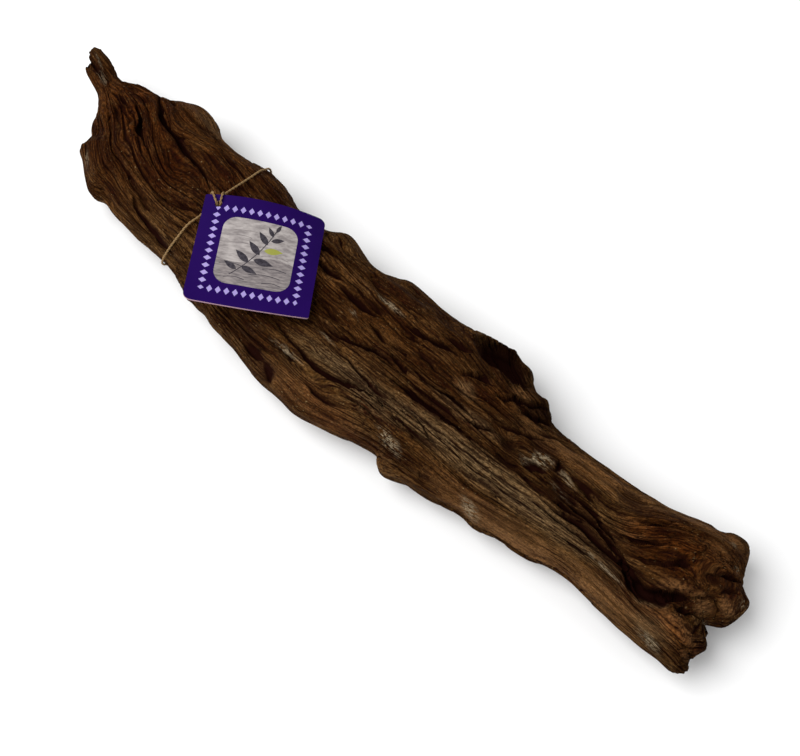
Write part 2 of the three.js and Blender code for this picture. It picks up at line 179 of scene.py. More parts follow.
def stretch_place(
    x: np.ndarray, y: np.ndarray, a: tuple, b: tuple
) -> tuple[np.ndarray, np.ndarray]:
    """Finds where plan points lie beside a straight stretch.

    Args:
        x: Plan places.
        y: Plan places.
        a: Start of the stretch.
        b: Its end.

    Returns:
        Their distances from it, and how far along it each is, 0 to 1.
    """
    ex, ey = b[0] - a[0], b[1] - a[1]
    t = np.clip(((x - a[0]) * ex + (y - a[1]) * ey) / (ex * ex + ey * ey), 0, 1)
    return np.hypot(x - a[0] - t * ex, y - a[1] - t * ey), t


def inside(x: np.ndarray, y: np.ndarray, outline: np.ndarray) -> np.ndarray:
    """Tests which plan points lie inside a closed outline.

    Args:
        x: Plan places.
        y: Plan places.
        outline: The outline's points in order.

    Returns:
        True for each point inside.
    """
    within = np.zeros(len(x), bool)
    for a, b in zip(np.roll(outline, 1, 0), outline):
        if a[1] != b[1]:
            crosses = (a[1] > y) != (b[1] > y)
            within ^= crosses & (x < (b[0] - a[0]) * (y - a[1]) / (b[1] - a[1]) + a[0])
    return within


def turned(
    place: tuple, degrees: float, x: np.ndarray, y: np.ndarray
) -> tuple[np.ndarray, np.ndarray]:
    """Measures plan points from a place, along and across a direction.

    Args:
        place: The place.
        degrees: Angle of the direction from the log's length.
        x: Plan places.
        y: Plan places.

    Returns:
        How far each point lies along the direction, and across it.
    """
    angle = math.radians(degrees)
    dx = (x - place[0]) * math.cos(angle) + (y - place[1]) * math.sin(angle)
    dy = (y - place[1]) * math.cos(angle) - (x - place[0]) * math.sin(angle)
    return dx, dy


def oval_ratio(oval: tuple, x: np.ndarray, y: np.ndarray) -> np.ndarray:
    """Where plan points lie in an oval: 0 at its centre, 1 on or beyond its edge.

    Args:
        oval: Centre x and y, half length, half width and turn in degrees.
        x: Plan places.
        y: Plan places.

    Returns:
        The ratio for each point.
    """
    cx, cy, length, width, turn = oval
    dx, dy = turned((cx, cy), turn, x, y)
    return np.minimum(np.hypot(dx / length, dy / width), 1)


def dome(ratio: np.ndarray) -> np.ndarray:
    """Quarter-ellipse rise from the rim, 0 to 1."""
    return np.sqrt(1 - np.clip(1 - ratio, 0, 1) ** 2)


def mesh_piece(
    name: str, points: np.ndarray, faces: list, materials: list, slots: np.ndarray | None = None
) -> bpy.types.Object:
    """Makes a smooth-shaded mesh object.

    Args:
        name: Name of the piece.
        points: Its points in metres.
        faces: Corners of each face.
        materials: Its materials.
        slots: Number of the material of each face, or None for the first.

    Returns:
        The object.
    """
    mesh = bpy.data.meshes.new(name)
    mesh.from_pydata(points.tolist(), [], faces)
    for material in materials:
        mesh.materials.append(material)
    if slots is not None:
        mesh.polygons.foreach_set("material_index", slots)
    mesh.shade_smooth()
    mesh.validate()
    piece = bpy.data.objects.new(name, mesh)
    bpy.context.scene.collection.objects.link(piece)
    return piece


def put_attribute(mesh: bpy.types.Mesh, name: str, values: np.ndarray) -> None:
    """Stores values for the points of a mesh.

    Args:
        mesh: The mesh.
        name: Name of the attribute.
        values: One number or one vector for each point.
    """
    vector = values.ndim == 2
    attribute = mesh.attributes.new(name, "FLOAT_VECTOR" if vector else "FLOAT", "POINT")
    attribute.data.foreach_set("vector" if vector else "value", values.astype(np.float32).ravel())


def evaluated_mesh(source: bpy.types.Object) -> bpy.types.Mesh:
    """Applies an object's modifiers.

    Args:
        source: The object, which stays as it is.

    Returns:
        The result as a plain mesh.
    """
    bpy.context.view_layer.update()
    graph = bpy.context.evaluated_depsgraph_get()
    return bpy.data.meshes.new_from_object(source.evaluated_get(graph))


def thin_out(piece: bpy.types.Object, triangles: int) -> None:
    """Takes triangles away where the surface is flattest.

    Args:
        piece: The object to thin out.
        triangles: How many are left.
    """
    modifier = piece.modifiers.new("thin_out", "DECIMATE")
    modifier.ratio = triangles / len(piece.data.polygons)
    fine = piece.data
    piece.data = evaluated_mesh(piece)
    piece.modifiers.remove(modifier)
    bpy.data.meshes.remove(fine)
    piece.data.name = piece.name


class Noise:
    """Smooth random values between -1 and 1 in space, from a seeded table."""

    SIZE = 64

    def __init__(self, seed: int) -> None:
        """Fills the table from the seed."""
        self.table = np.random.default_rng(seed).uniform(-1, 1, (self.SIZE,) * 3)

    def at(self, places: np.ndarray, scale: tuple[float, float, float]) -> np.ndarray:
        """Reads the noise.

        Args:
            places: Points in millimetres.
            scale: Size of one cell of the noise along each axis, in millimetres.

        Returns:
            One value for each point.
        """
        cells = places / np.array(scale)
        floor = np.floor(cells).astype(int)
        part = cells - floor
        part = part * part * (3 - 2 * part)
        total = np.zeros(len(places))
        for corner in np.ndindex(2, 2, 2):
            weight = np.prod(np.where(corner, part, 1 - part), axis=1)
            total += weight * self.table[tuple(((floor + corner) % self.SIZE).T)]
        return total


def layered(places: np.ndarray, layers: tuple, start: np.ndarray | float = 0.0) -> np.ndarray:
    """Adds noises up.

    Args:
        places: Points in millimetres.
        layers: Seed, height and cell size of each noise.
        start: What they are added to.

    Returns:
        One value for each point.
    """
    return sum((height * Noise(seed).at(places, size) for seed, height, size in layers), start)


@dataclass(frozen=True)
class LogForm:
    """Broad shape of the log: its outline, heights, grain, furrows and hollows, as in the solid."""

    top_rounding: float = 26.0
    under_rounding: float = 22.0
    rope_height: float = 0.8
    rope_spacing: float = 12.5
    fine_rope_height: float = 0.45
    fine_rope_spacing: float = 7.9
    side_ridge_depth: float = 0.9
    side_ridge_spacing: float = 10.0
    rim_fade: float = 3.0  # furrows of the top run out over this distance from the rim
    # Noises that bend the furrows along and across, as (seed, height, cell size)
    stray_along: tuple = ((3, 1.5, (15, 8, 1)), (5, 0.6, (6, 3, 1)))
    stray_across: tuple = ((4, 1.1, (13, 7, 1)), (6, 0.5, (5, 3, 1)))
    # The outline seen from above, and as (x, z) where the log is widest, its crest and its belly
    rim: tuple = (
        (-271, 42), (-265, 44), (-256, 43), (-247, 39.5), (-238.5, 36.5), (-232, 38.5),
        (-228, 42), (-214, 45), (-200, 48.5), (-189.5, 54.5), (-180, 57.5), (-170, 57),
        (-163, 55), (-156, 50.5), (-140, 48), (-127.5, 48.5), (-106, 51), (-90, 48),
        (-77, 44), (-62, 43.5), (-52, 46.5), (-46, 51.5), (-40, 52.5), (-30, 50),
        (-20, 46.5), (-12, 46.5), (0, 50), (6, 53.5), (25, 53), (45, 52),
        (60, 54.5), (72, 57.5), (84, 59.5), (91, 57.5), (98, 56.5), (105, 50.5),
        (110, 48), (118, 48.5), (123, 44.5), (131, 39), (148, 38.5), (170, 39.5),
        (190, 41.5), (210, 45), (228, 51), (235, 52), (241, 56), (250, 57.2),
        (255.5, 52), (258.5, 44.5), (264, 35.5), (270.5, 33), (272, 28), (271.5, 19),
        (268.5, 11), (260.5, 5.5), (266.5, 1), (270, -3), (267.5, -13.5), (269.5, -20.5),
        (264, -26), (252.5, -26), (236, -25.5), (216, -25), (190, -23.5), (178, -25.5),
        (168, -29), (150, -32), (136, -35.5), (124, -35.5), (110, -39.5), (92, -43),
        (76, -47.5), (67, -41.5), (55, -44.5), (36, -50.5), (16, -55), (5, -54.5),
        (-12, -54), (-30, -51), (-42, -48.5), (-60, -47), (-70, -44.5), (-86, -44),
        (-104, -38), (-120, -36.5), (-150, -36.5), (-165, -35), (-175, -33), (-184, -35.5),
        (-196, -30), (-208, -22), (-216, -16.5), (-214.5, -8.5), (-223.5, 0.5), (-230, 9),
        (-240, 18.5), (-252, 22.5), (-260, 25.5), (-263, 28.5), (-262, 31.5), (-267, 34),
    )
    widest: tuple = (
        (-272, 31), (-240, 27), (-200, 24), (-100, 24), (0, 23), (100, 23), (200, 22), (268, 21),
    )
    crest: tuple = (
        (-272, 35), (-255, 37), (-235, 39), (-200, 43), (-150, 47), (-100, 49), (-55, 45),
        (-20, 42.5), (0, 44), (50, 48), (100, 47), (128, 44), (150, 44), (200, 45), (240, 43),
        (268, 34),
    )
    belly: tuple = (
        (-272, 26), (-250, 17), (-225, 9), (-190, 6), (-150, 6), (-118, 9), (-100, 4),
        (-85, -1.5), (-50, -2), (-30, 2), (20, 5), (70, 3), (100, -1.5), (180, -2), (205, 1),
        (240, 6), (268, 15),
    )
    # Lines that the grain follows, from the front to the back
    grain_lines: tuple = (
        ((-272, 12), (-215, -16), (-184, -34), (-110, -38), (0, -54), (70, -44), (190, -25),
         (270, -26)),
        ((-272, 26), (-215, 2), (-180, -18), (-142, -30), (-60, -36), (5, -37), (50, -31),
         (120, -29), (190, -18), (228, -20), (270, -19)),
        ((-272, 34), (-235, 22), (-205, 8), (-185, -6), (-150, -15), (-60, -22), (5, -21),
         (50, -20), (110, -17), (160, -13), (205, -10), (230, -15), (270, -12)),
        ((-272, 38), (-240, 30), (-200, 22), (-185, 13), (-168, 2), (-110, -6), (-12, -11.5),
         (60, -10.5), (110, -8), (160, -5), (212, -6), (240, 0), (270, 6)),
        ((-272, 41), (-230, 34), (-200, 32), (-173, 20), (-150, 16.5), (-112, 4), (-20, 0),
         (50, -2), (100, -0.5), (150, 4), (185, 5), (210, 9), (228, 20), (245, 28), (270, 32)),
        ((-272, 44), (-230, 37), (-195, 40), (-170, 28), (-137, 33), (-91, 22), (-30, 19),
         (15, 13), (60, 11), (126, 13), (170, 13), (195, 14), (215, 28), (235, 40), (270, 48)),
        ((-272, 47), (-214, 44), (-180, 56), (-140, 48), (-90, 47), (-40, 47), (0, 42),
         (60, 33), (95, 26), (125, 24), (155, 30), (190, 33), (225, 50), (250, 58), (270, 62)),
    )
    # Furrows as (width, depth, (x, y), ...)
    furrows: tuple = (
        # pointed end, as far as the card
        (6, 7, (-216, 50), (-209, 44), (-194, 33.5), (-178, 25), (-162, 22), (-146, 18),
         (-130, 13.5), (-112, 6)),
        (3.8, 7, (-208, 26), (-198, 20.5), (-187, 13), (-173, 5), (-165, 1)),
        (2.6, 2.2, (-226, 21), (-210, 17), (-196, 12), (-181, 2)),
        (3, 3, (-200, 46), (-193, 44), (-186, 41)),
        (2.6, 2.2, (-188, 44), (-169, 39), (-157, 41), (-142, 41)),
        (3, 2.5, (-229, 26), (-215, 22), (-205, 19), (-197, 18)),
        (4, 2.5, (-222, 17), (-212, 14), (-205, 10), (-197, 6)),
        (4, 3, (-264, 34), (-256, 31), (-248, 29)),
        (3, 2.5, (-182, 35), (-170, 31), (-160, 30)),
        (3, 2.5, (-170, -11), (-160, -19), (-150, -22), (-138, -24), (-120, -23)),
        (4, 4, (-160, -22), (-146, -27), (-133, -30), (-118, -32), (-100, -34)),
        (3, 2.5, (-135, -15), (-120, -12), (-109, -11)),
        (3, 3, (-148, 40), (-133, 34), (-112, 30), (-98, 27), (-88, 23)),
        # front half of the middle
        (6, 4, (-36, -45), (-24, -46), (-12, -48.5)),
        (7, 5, (-16, -48), (-8, -49.5), (-1, -52)),
        (3.6, 4.6, (-31, -25), (-20, -27.5), (-10, -29.5), (6, -32), (24, -31.5), (40, -27.5),
         (53, -24), (72, -26)),
        (3.2, 3.4, (-1, -23), (10, -18), (25, -17), (36, -20), (49, -21), (65, -20), (76, -22)),
        (2.6, 2.6, (36, -16), (51, -17), (65, -19), (80, -19), (91, -21), (108, -20), (121, -17)),
        (3.2, 3.4, (10, -43), (22, -44), (34, -42), (44, -38)),
        (2.6, 2.4, (99, -29), (114, -23), (128, -20), (143, -19), (157, -18)),
        (2.6, 2.5, (33, -35), (50, -33), (66, -32)),
        (3, 2.5, (-17, -38), (-4, -37), (8, -38)),
        # back half of the middle
        (4, 4, (-48, 26), (-37, 27.8), (-27, 27)),
        (5, 5, (-40, 18), (-33, 18.8), (-26, 18.8), (-17, 20.8), (-10, 21)),
        (6, 7, (-18, 16), (-10, 15.8), (-3, 15), (6, 14), (14, 13.5), (21, 16)),
        (3.4, 3, (-24, 1), (-12, -0.5), (0, -1), (10, -1)),
        (3, 2.6, (-12, -9), (-5, -10.8), (7, -13), (16, -13)),
        (4.4, 5, (-12, -9), (3, -10), (15, -9), (30, -3), (48, -3), (56, -3)),
        (4.6, 5.5, (29, 21), (36, 21.8), (48, 22), (57, 23.8), (66, 24.8), (74, 26)),
        (3.6, 4, (47, 11), (53, 11.2), (60, 12.2), (68, 11.2), (74, 11)),
        (3, 3, (32, 15), (37, 15.8), (45, 17.2), (51, 18)),
        (3.6, 4.5, (38, 0.6), (44, -0.2), (49, -0.8), (54, -1.8), (58, -2.2)),
        (3, 3, (33, -5.5), (45, -4.8), (51, -5)),
        (3, 3, (34, 6.5), (43, 7), (52, 6)),
        (3, 3.6, (15, 8), (21, 7), (28, 5.2), (35, 3.6)),
        (4.4, 6.5, (44, -12), (49, -11.2), (58, -10.2), (65, -9.2), (75, -9.2), (85, -7.5),
         (98, -6.5), (112, -6.5)),
        (3.8, 5, (53, 3.4), (57, 2.4), (63, 1.8), (70, 1.8), (77, 3.2), (84, 4.4), (92, 4),
         (106, 1.5)),
        (3.4, 3.5, (62, 11.5), (83, 10), (92, 10.5), (108, 12), (128, 14.5)),
        (5.4, 4.5, (76, 16), (81, 20), (87, 23.5), (95, 25.5)),
        (4, 6, (96, 19.5), (107, 27), (112, 30), (117, 34), (122, 41), (123, 48)),
        (6, 5, (113, 23.5), (121, 27.5), (126, 32), (133, 38)),
        (4, 4.5, (96, -1), (109, 2.5), (118, 8)),
        (3, 4, (146, 19), (151, 15), (152, 9)),
        (3, 4, (133, 2.5), (144, 4.5), (153, 6.5)),
        (3.6, 3.5, (52, 28.5), (59, 29.8), (69, 29.8), (77, 32.2)),
        (3.6, 4, (104, 9), (118, 12), (131, 18), (143, 27)),
        (5, 3.5, (118, 20), (127, 22), (140, 27), (154, 31), (172, 33)),
        # valley that runs into the split end
        (3, 3, (128, -6), (138, -3), (152, -4), (162, -3)),
        (4, 5, (154, -6), (168, -6), (181, -4), (193, -5), (210, -6), (217, -8)),
        (4, 5, (150, 3), (165, 2), (176, 1), (187, 1), (199, -1), (213, -5), (221, -9)),
        (3.4, 4.2, (161, 8), (178, 6), (196, 2), (208, -1.5)),
        (3.4, 4.6, (156, -3), (173, -2), (188, 0)),
        (3, 3.5, (150, -9), (170, -9.5), (190, -8), (206, -8.5)),
        (2.6, 2.5, (173, -16), (188, -13), (202, -12)),
        (2.6, 2.5, (146, 5), (158, 7), (172, 9)),
        (4, 3, (158, 14), (172, 13), (184, 8)),
        # split end
        (3.5, 9, (207, -3.5), (215, -7.5), (222, -10.5), (228, -12.5), (232, -13)),
        (4, 9, (231, -8), (237, -3), (242, 2), (246, 5)),
        (2.4, 2.4, (197, 13), (203, 18), (211, 22), (219, 32), (222, 38)),
        (2.6, 2.8, (198, 3), (205, 6), (211, 9), (216, 12.5), (228, 23)),
        (2.4, 2, (210, 18), (217, 20), (224, 25), (232, 33)),
        (2.6, 2.8, (221, 4), (227, 9), (233, 15), (240, 21)),
        (2.2, 1.8, (212, 1.5), (218, 3), (223, 6), (230, 10)),
        (3, 2.5, (246, 6), (251, 12), (257, 15.5), (261, 13), (262, 8)),
        (3, 2.5, (258, 17), (258.5, 23), (262, 28), (267, 29)),
        (3.6, 5, (250, 26), (256, 31.5), (262, 35)),
        (3.4, 4, (240, -3), (246, -4.5), (252, -1.5), (258, 5)),
    )
    # Hollows and rises as (x, y, half length, half width, turn in degrees, depth or height)
    hollows: tuple = (
        (86, 44, 21, 11.5, -4, 21),
        (193, 27, 12, 8, 0, 3.2),
        (101, -36, 4, 4, 0, 2.5),
        (-12, -51, 11, 5, 10, 3),
        (124, 5.5, 4.5, 3.5, 0, 3),
        (130, -3, 8, 2.5, 0, 2.5),
    )
    # Ledges as (width, depth, (x, y), ...), steep behind their line and sloping up in front of it
    ledges: tuple = (
        (5, 8.5, (212, -5), (219, -6), (227, -6.5), (234, -3.5), (240.5, 1.5), (246, 4)),
        (4, 2.5, (243, 17), (248, 22), (256, 24)),
        (6, 3, (-186, 33), (-176, 26), (-160, 24), (-146, 23)),
        (5, 2.5, (128, 17.5), (140, 20.5), (152, 20)),
        (5, 2.5, (150, 7.5), (165, 7), (178, 4)),
        (5, 2.5, (56, -5), (72, -4.5), (88, -2.5), (104, -2)),
        (4, 2, (-4, 18), (10, 18.5), (22, 21)),
    )
    rises: tuple = (
        (70, 34, 52, 24, 0, 4),
        (216, 22, 34, 20, 14, 5),
        (205, -17, 34, 8, -2, 3),
        (-172, 2, 34, 22, -30, 2.5),
        (-90, -8, 48, 30, 0, 5),
        (-58, -6, 44, 34, 37, 4.4),
        (259, 11, 10, 8, 20, 2),
        (141.5, 10, 10, 7.5, 20, 1.5),
    )
    # The same for the underside
    under_furrows: tuple = (
        (8, 6, (-238, 26), (-215, 17), (-190, 7), (-165, 0), (-140, -5)),
        (6, 5, (-200, 36), (-170, 33), (-135, 27), (-112, 25)),
        (6, 4, (-165, -20), (-140, -25), (-112, -27)),
        (9, 7, (-48, 20), (-15, 15), (25, 15), (62, 20), (95, 27)),
        (8, 6, (-42, -18), (-5, -25), (40, -27), (84, -24)),
        (6, 5, (-30, -1), (20, -5), (70, -6), (98, -4)),
        (6, 5, (15, 36), (45, 38), (75, 36)),
        (8, 6, (190, 12), (212, 19), (234, 31)),
        (7, 5, (184, -8), (214, -9), (248, -13)),
    )
    under_hollows: tuple = (
        (-20, 34, 17, 8, 8, 7),
        (55, 8, 22, 9, -4, 6),
        (-205, 28, 14, 6, -35, 6),
    )
    # The line that the cuts across the log turn about, seen from above
    heart: tuple = (
        (-258, 36.5), (-240, 28.5), (-222, 20), (-195, 14), (-150, 8), (-100, 4), (-50, 0),
        (0, -2), (50, 1), (100, 2), (130, 1), (170, 5), (210, 9), (246, 13),
    )

    def rim_depth(self, x: np.ndarray, y: np.ndarray) -> np.ndarray:
        """Finds how far plan points lie inside the rim.

        Args:
            x: Plan places.
            y: Plan places.

        Returns:
            The distances, negative outside.
        """
        rim = rounded_path(self.rim, 4, closed=True)
        nearest = np.full(len(x), np.inf)
        for a, b in zip(np.roll(rim, 1, 0), rim):
            nearest = np.minimum(nearest, stretch_place(x, y, a, b)[0])
        return np.where(inside(x, y, rim), nearest, -nearest)

    def grain_at(self, x: np.ndarray, y: np.ndarray) -> np.ndarray:
        """Finds which line of grain runs through plan points.

        Args:
            x: Plan places.
            y: Plan places.

        Returns:
            How far from the front each line crosses the middle of the log, in millimetres.
        """
        here = np.array([smooth_along(line, x) for line in self.grain_lines])
        middle = np.array([smooth_along(line, np.zeros(1))[0] for line in self.grain_lines])
        i = (y > here[1:-1]).sum(0)
        lower = np.take_along_axis(here, i[None], 0)[0]
        upper = np.take_along_axis(here, i[None] + 1, 0)[0]
        t = (y - lower) / (upper - lower)
        return middle[i] + t * (middle[i + 1] - middle[i])

    def carved(
        self, furrows: tuple, hollows: tuple, ledges: tuple, x: np.ndarray, y: np.ndarray
    ) -> tuple[np.ndarray, np.ndarray]:
        """Finds how deep plan points are carved.

        Args:
            furrows: Furrows, which waver and taper at their ends.
            hollows: Hollows.
            ledges: Ledges.
            x: Plan places.
            y: Plan places.

        Returns:
            The depths, and the share of them that gets painted shade, which is small in the
            hollows.
        """
        flat = np.column_stack([x, y, np.zeros(len(x))])
        x, y = layered(flat, self.stray_along, x), layered(flat, self.stray_across, y)
        depth = np.zeros(len(x))
        for number, (width, deep, *route) in enumerate((*furrows, *ledges)):
            lengths = [math.dist(a, b) for a, b in zip(route, route[1:])]
            done = 0.0
            for a, b, length in zip(route, route[1:], lengths):
                away, t = stretch_place(x, y, a, b)
                share = (done + t * length) / sum(lengths)
                taper = np.minimum(share, 1 - share) / FURROW_ENDS
                taper = np.clip(taper, FURROW_TIP, 1) ** 0.8
                if number < len(furrows):
                    away = away / (FURROW_SPREAD * width * taper)
                else:
                    behind = (b[0] - a[0]) * (y - a[1]) > (b[1] - a[1]) * (x - a[0])
                    away = away / np.where(behind, LEDGE_EDGE, width * taper)
                depth = np.maximum(depth, deep * taper * np.exp(-away * away))
                done += length
        # Painted shade: furrows and ledges are darkened by their depth, hollows by a share of it
        dark = depth
        for *oval, deep in hollows:
            bowl = deep * (1 - oval_ratio(oval, x, y) ** 3)
            depth, dark = np.maximum(depth, bowl), np.maximum(dark, BOWL_DARK * bowl)
        return depth, dark

    def raised(self, x: np.ndarray, y: np.ndarray) -> np.ndarray:
        """Height of the broad rises at plan points."""
        return sum(rise[5] * (1 - oval_ratio(rise[:5], x, y) ** 2) ** 2 for rise in self.rises)

    def ropes(self, x: np.ndarray, across: np.ndarray) -> np.ndarray:
        """Finds the rope-like swell along the grain.

        Args:
            x: Places along the log.
            across: Places across the grain.

        Returns:
            Its heights, in millimetres.
        """
        turn = 2 * math.pi
        # The inner sines sway the ropes from side to side
        broad = np.sin(turn * across / self.rope_spacing + 1.3 * np.sin(x / 43 + across / 19))
        fine = np.sin(turn * across / self.fine_rope_spacing + 1.7 * np.sin(x / 31 + 1.3))
        return self.rope_height * broad + self.fine_rope_height * fine

    def heights(
        self, x: np.ndarray, y: np.ndarray, depth: np.ndarray, upper: np.ndarray
    ) -> tuple[np.ndarray, np.ndarray]:
        """Finds the heights of the skin at plan points.

        Args:
            x: Plan places.
            y: Plan places.
            depth: How far each lies inside the rim.
            upper: True where the top is wanted, false for the underside.

        Returns:
            The heights, and how deep each is carved where that gets painted shade.
        """
        widest = smooth_along(self.widest, x)
        swell = self.ropes(x, self.grain_at(x, y))
        crest = smooth_along(self.crest, x) + self.raised(x, y) + swell
        belly = smooth_along(self.belly, x) - swell
        carved_top, dark_top = self.carved(self.furrows, self.hollows, self.ledges, x, y)
        carved_under, dark_under = self.carved(self.under_furrows, self.under_hollows, (), x, y)
        carved_top = carved_top * np.clip(depth / self.rim_fade, 0, 1)
        top = widest + (crest - widest) * dome(depth / self.top_rounding) - carved_top
        under = widest - (widest - belly) * dome(depth / self.under_rounding)
        # Where the log rests it is worn flat, which leaves the furrows shallow
        under = np.maximum(under + carved_under, WORN_FURROW * carved_under)
        height = np.where(upper, np.maximum(top, widest), np.clip(under, 0, widest))
        return height, np.where(upper, dark_top, dark_under)


class Tone(Enum):
    """Names of the colour patches on the wood, each kept as an attribute of the skin."""

    GREY = "grey"
    PALE = "pale"
    RUSSET = "russet"
    GOLD = "gold"
    DARK = "dark"
    WORN = "worn"
    TAN = "tan"


# Patches of each tone on the log's top, as (x, y, half length, half width, turn in degrees,
# strength), in the drawing's millimetres
PATCHES = {
    Tone.PALE: (  # crust and bark, pale grey
        (141.5, 10, 9, 6, 25, 1.0), (141.5, 10, 7, 5, 25, 1.0), (136, 4, 5, 2.4, -20, 0.7),
        (160, 11, 9, 2.4, -14, 0.7), (162, 3.5, 9, 1.8, -8, 0.7), (14, 25.5, 15, 1.8, -6, 0.9),
        (4, 7, 3, 1.2, 0, 0.8), (-8, -36, 14, 1.4, 2, 0.8), (5, -15, 6, 1.4, -12, 0.8),
        (74, -36.5, 12, 3.4, -12, 0.9), (130, -32.5, 8, 2.8, -10, 0.8), (245, -23, 8, 2.2, -6, 0.9),
        (268, 27, 1.8, 3.4, 0, 0.8), (261, 5.5, 3.5, 1.4, 10, 0.9), (246, 45, 2.6, 2, 0, 0.6),
        (255, 38, 2.6, 1.6, 20, 0.9), (-244, 27, 9, 2.6, -24, 0.6), (-256, 35, 11, 1.0, -24, 0.7),
        (-200, -22, 8, 2, -36, 0.5), (188, 0, 5, 1.2, 0, 0.8), (205, -13, 16, 1.0, -4, 0.7),
    ),
    Tone.GREY: (  # weathered ridges
        (112, -16, 80, 10, 5, 0.8), (150, -14, 60, 8, 6, 0.8), (40, -24, 60, 9, 2, 0.6),
        (-162, 47, 34, 7, -2, 0.5), (86, 13, 8, 5, -10, 0.7), (96, 2, 30, 5, 4, 0.5),
        (180, -14, 40, 5, 6, 0.5), (215, 42, 34, 4, 10, 0.6), (234, -10.5, 10, 3, 30, 1.0),
        (244, -19, 14, 5, 6, 0.7),
    ),
    Tone.TAN: (  # wood worn down to its pale inside
        (30, -47, 60, 9, 2, 0.6), (170, -28, 74, 9, 6, 1.0), (165, 26, 60, 10, 6, 0.9),
        (225, 44, 40, 7, 10, 0.9), (253, 9, 7, 6, 20, 1.0), (263, 19, 6, 6, 20, 1.0),
        (238, 4, 12, 4, 35, 0.7), (204, 13, 15, 7, 15, 0.7), (108, 33, 10, 5, 45, 0.8),
        (-212, 34.5, 7, 6, 0, 0.9), (250, -14, 22, 9, 0, 1.0), (225, -20, 34, 7, 0, 0.8),
        (-160, 48, 40, 7, -2, 0.5), (84, 13, 10, 5, -10, 0.6), (246, 36, 16, 12, 0, 0.4),
    ),
    Tone.RUSSET: (  # reddish brown
        (30, -46, 44, 8, 2, 0.45), (100, -34, 44, 9, 8, 0.3), (-148, 4, 30, 22, -24, 1.0),
        (-200, 20, 90, 60, -30, 1.0), (-120, 20, 80, 50, 0, 0.7), (20, 12, 130, 34, 0, 0.4),
        (100, 20, 20, 10, 0, 0.8), (226, 20, 36, 22, 20, 1.0), (250, 30, 22, 20, 0, 0.6),
        (215, 44, 46, 7, 10, 0.6), (250, -12, 26, 12, 0, 0.4),
    ),
    Tone.GOLD: (  # golden brown
        (203, 14, 14, 6, 15, 0.8), (236, 12, 12, 5, 40, 0.6), (254, -15, 11, 6, 0, 1.0),
        (30, 14, 34, 8, -4, 0.6), (-20, 5, 40, 14, 0, 0.5), (110, 42, 12, 5, -20, 0.6),
        (170, 24, 40, 8, 5, 0.6), (-140, 2, 22, 10, -15, 0.3),
    ),
    Tone.DARK: (  # painted shade in hollows, under ledges and along the back rim, and some stains and worn-out places, near black
        (86, 48, 22, 18, -4, 1.0), (124, 5.5, 7, 5.5, 0, 1.0), (130, -3, 12, 4.5, 0, 0.9),
        (152, 13, 4, 7, 20, 0.7), (80, 37, 34, 14, -6, 0.55), (-26, -44, 20, 5, -14, 0.6),
        (120, 33, 14, 6, 45, 0.9), (193, 27, 15, 10, 0, 0.85), (185, -2, 42, 8, -4, 0.75),
        (30, 38, 30, 8, 4, 0.5), (-10, -49, 11, 5, 10, 0.9), (-207, 45, 12, 6, -35, 0.7),
        (126, 8, 14, 8, 0, 0.6), (251, 25, 12, 6, 25, 0.35), (230, 4.5, 7, 3, 25, 0.5),
        (-254, 30, 8, 2, -24, 0.7), (-203, -9, 5, 2, -20, 0.7), (101, -36, 5, 3.5, 60, 0.8),
    ),
    Tone.WORN: (  # worn smooth, with few cracks
        (26, -50, 50, 8, 2, 1.0), (150, -31, 70, 8, 6, 0.9), (256, 16, 14, 16, 0, 0.7),
        (222, 40, 50, 7, 12, 1.0), (-262, 40, 18, 10, -10, 0.8), (215, -20, 46, 6, 0, 0.7),
        (165, 25, 46, 9, 6, 0.7), (-30, 12, 30, 12, 0, 0.4), (15, 10, 34, 9, -8, 0.6),
        (-175, 44, 30, 9, 0, 0.5),
    ),
}


@dataclass(frozen=True)
class Knot:
    """An eye in the wood that the grain flows round, in the drawing's millimetres."""

    x: float
    y: float
    length: float
    width: float
    turn: float
    swell: float

    def push(self, x: np.ndarray, y: np.ndarray) -> np.ndarray:
        """How far it pushes the grain aside at plan points."""
        dx, dy = turned((self.x, self.y), self.turn, x, y)
        return self.swell * np.exp(-((dx / self.length) ** 2) - (dy / self.width) ** 2)


KNOTS = (
    Knot(-148, 4, 17, 10, -24, 5.5),
    Knot(-188, -10, 14, 8, -50, 3),
    Knot(246, 46, 6, 5, 20, 8),
    Knot(122, 8, 7, 4, 0, 6),
    Knot(88, 13, 9, 4, -10, 6),
    Knot(251, 20, 12, 7, 10, 4),
    Knot(226, 24, 18, 8, 40, -4),
    Knot(20, -40, 16, 5, 0, 5),
    Knot(-30, 36, 12, 5, 10, 5),
)


@dataclass(frozen=True)
class Pattern:
    """A noise in the wood: its size along, across and through the grain in millimetres."""

    name: str
    size: tuple[float, float, float]
    detail: float = 3.0
    roughness: float = 0.6
    # Stretch of the noise that is kept, and the values that it is spread over
    span: tuple[float, float, float, float] | None = None


@dataclass(frozen=True)
class Wash:
    """A colour that shows where a tone of the skin and a stretch of a pattern let it."""

    tone: str  # empty for everywhere
    pattern: str
    low: float
    high: float
    strength: float
    colour: str
    blend: str = "MIX"


@dataclass(frozen=True)
class CrackRun:
    """Dark cracks that run with the growth rings."""

    to_a_ring: float  # how many there are from one ring to the next
    waver: float  # how far they stray from the rings, in their own spacing
    width: float  # half width, in their own spacing
    floor: float  # how much of the wood's colour is left in them
    in_skin: bool  # whether the mesh has them too; the others close where the wood is worn


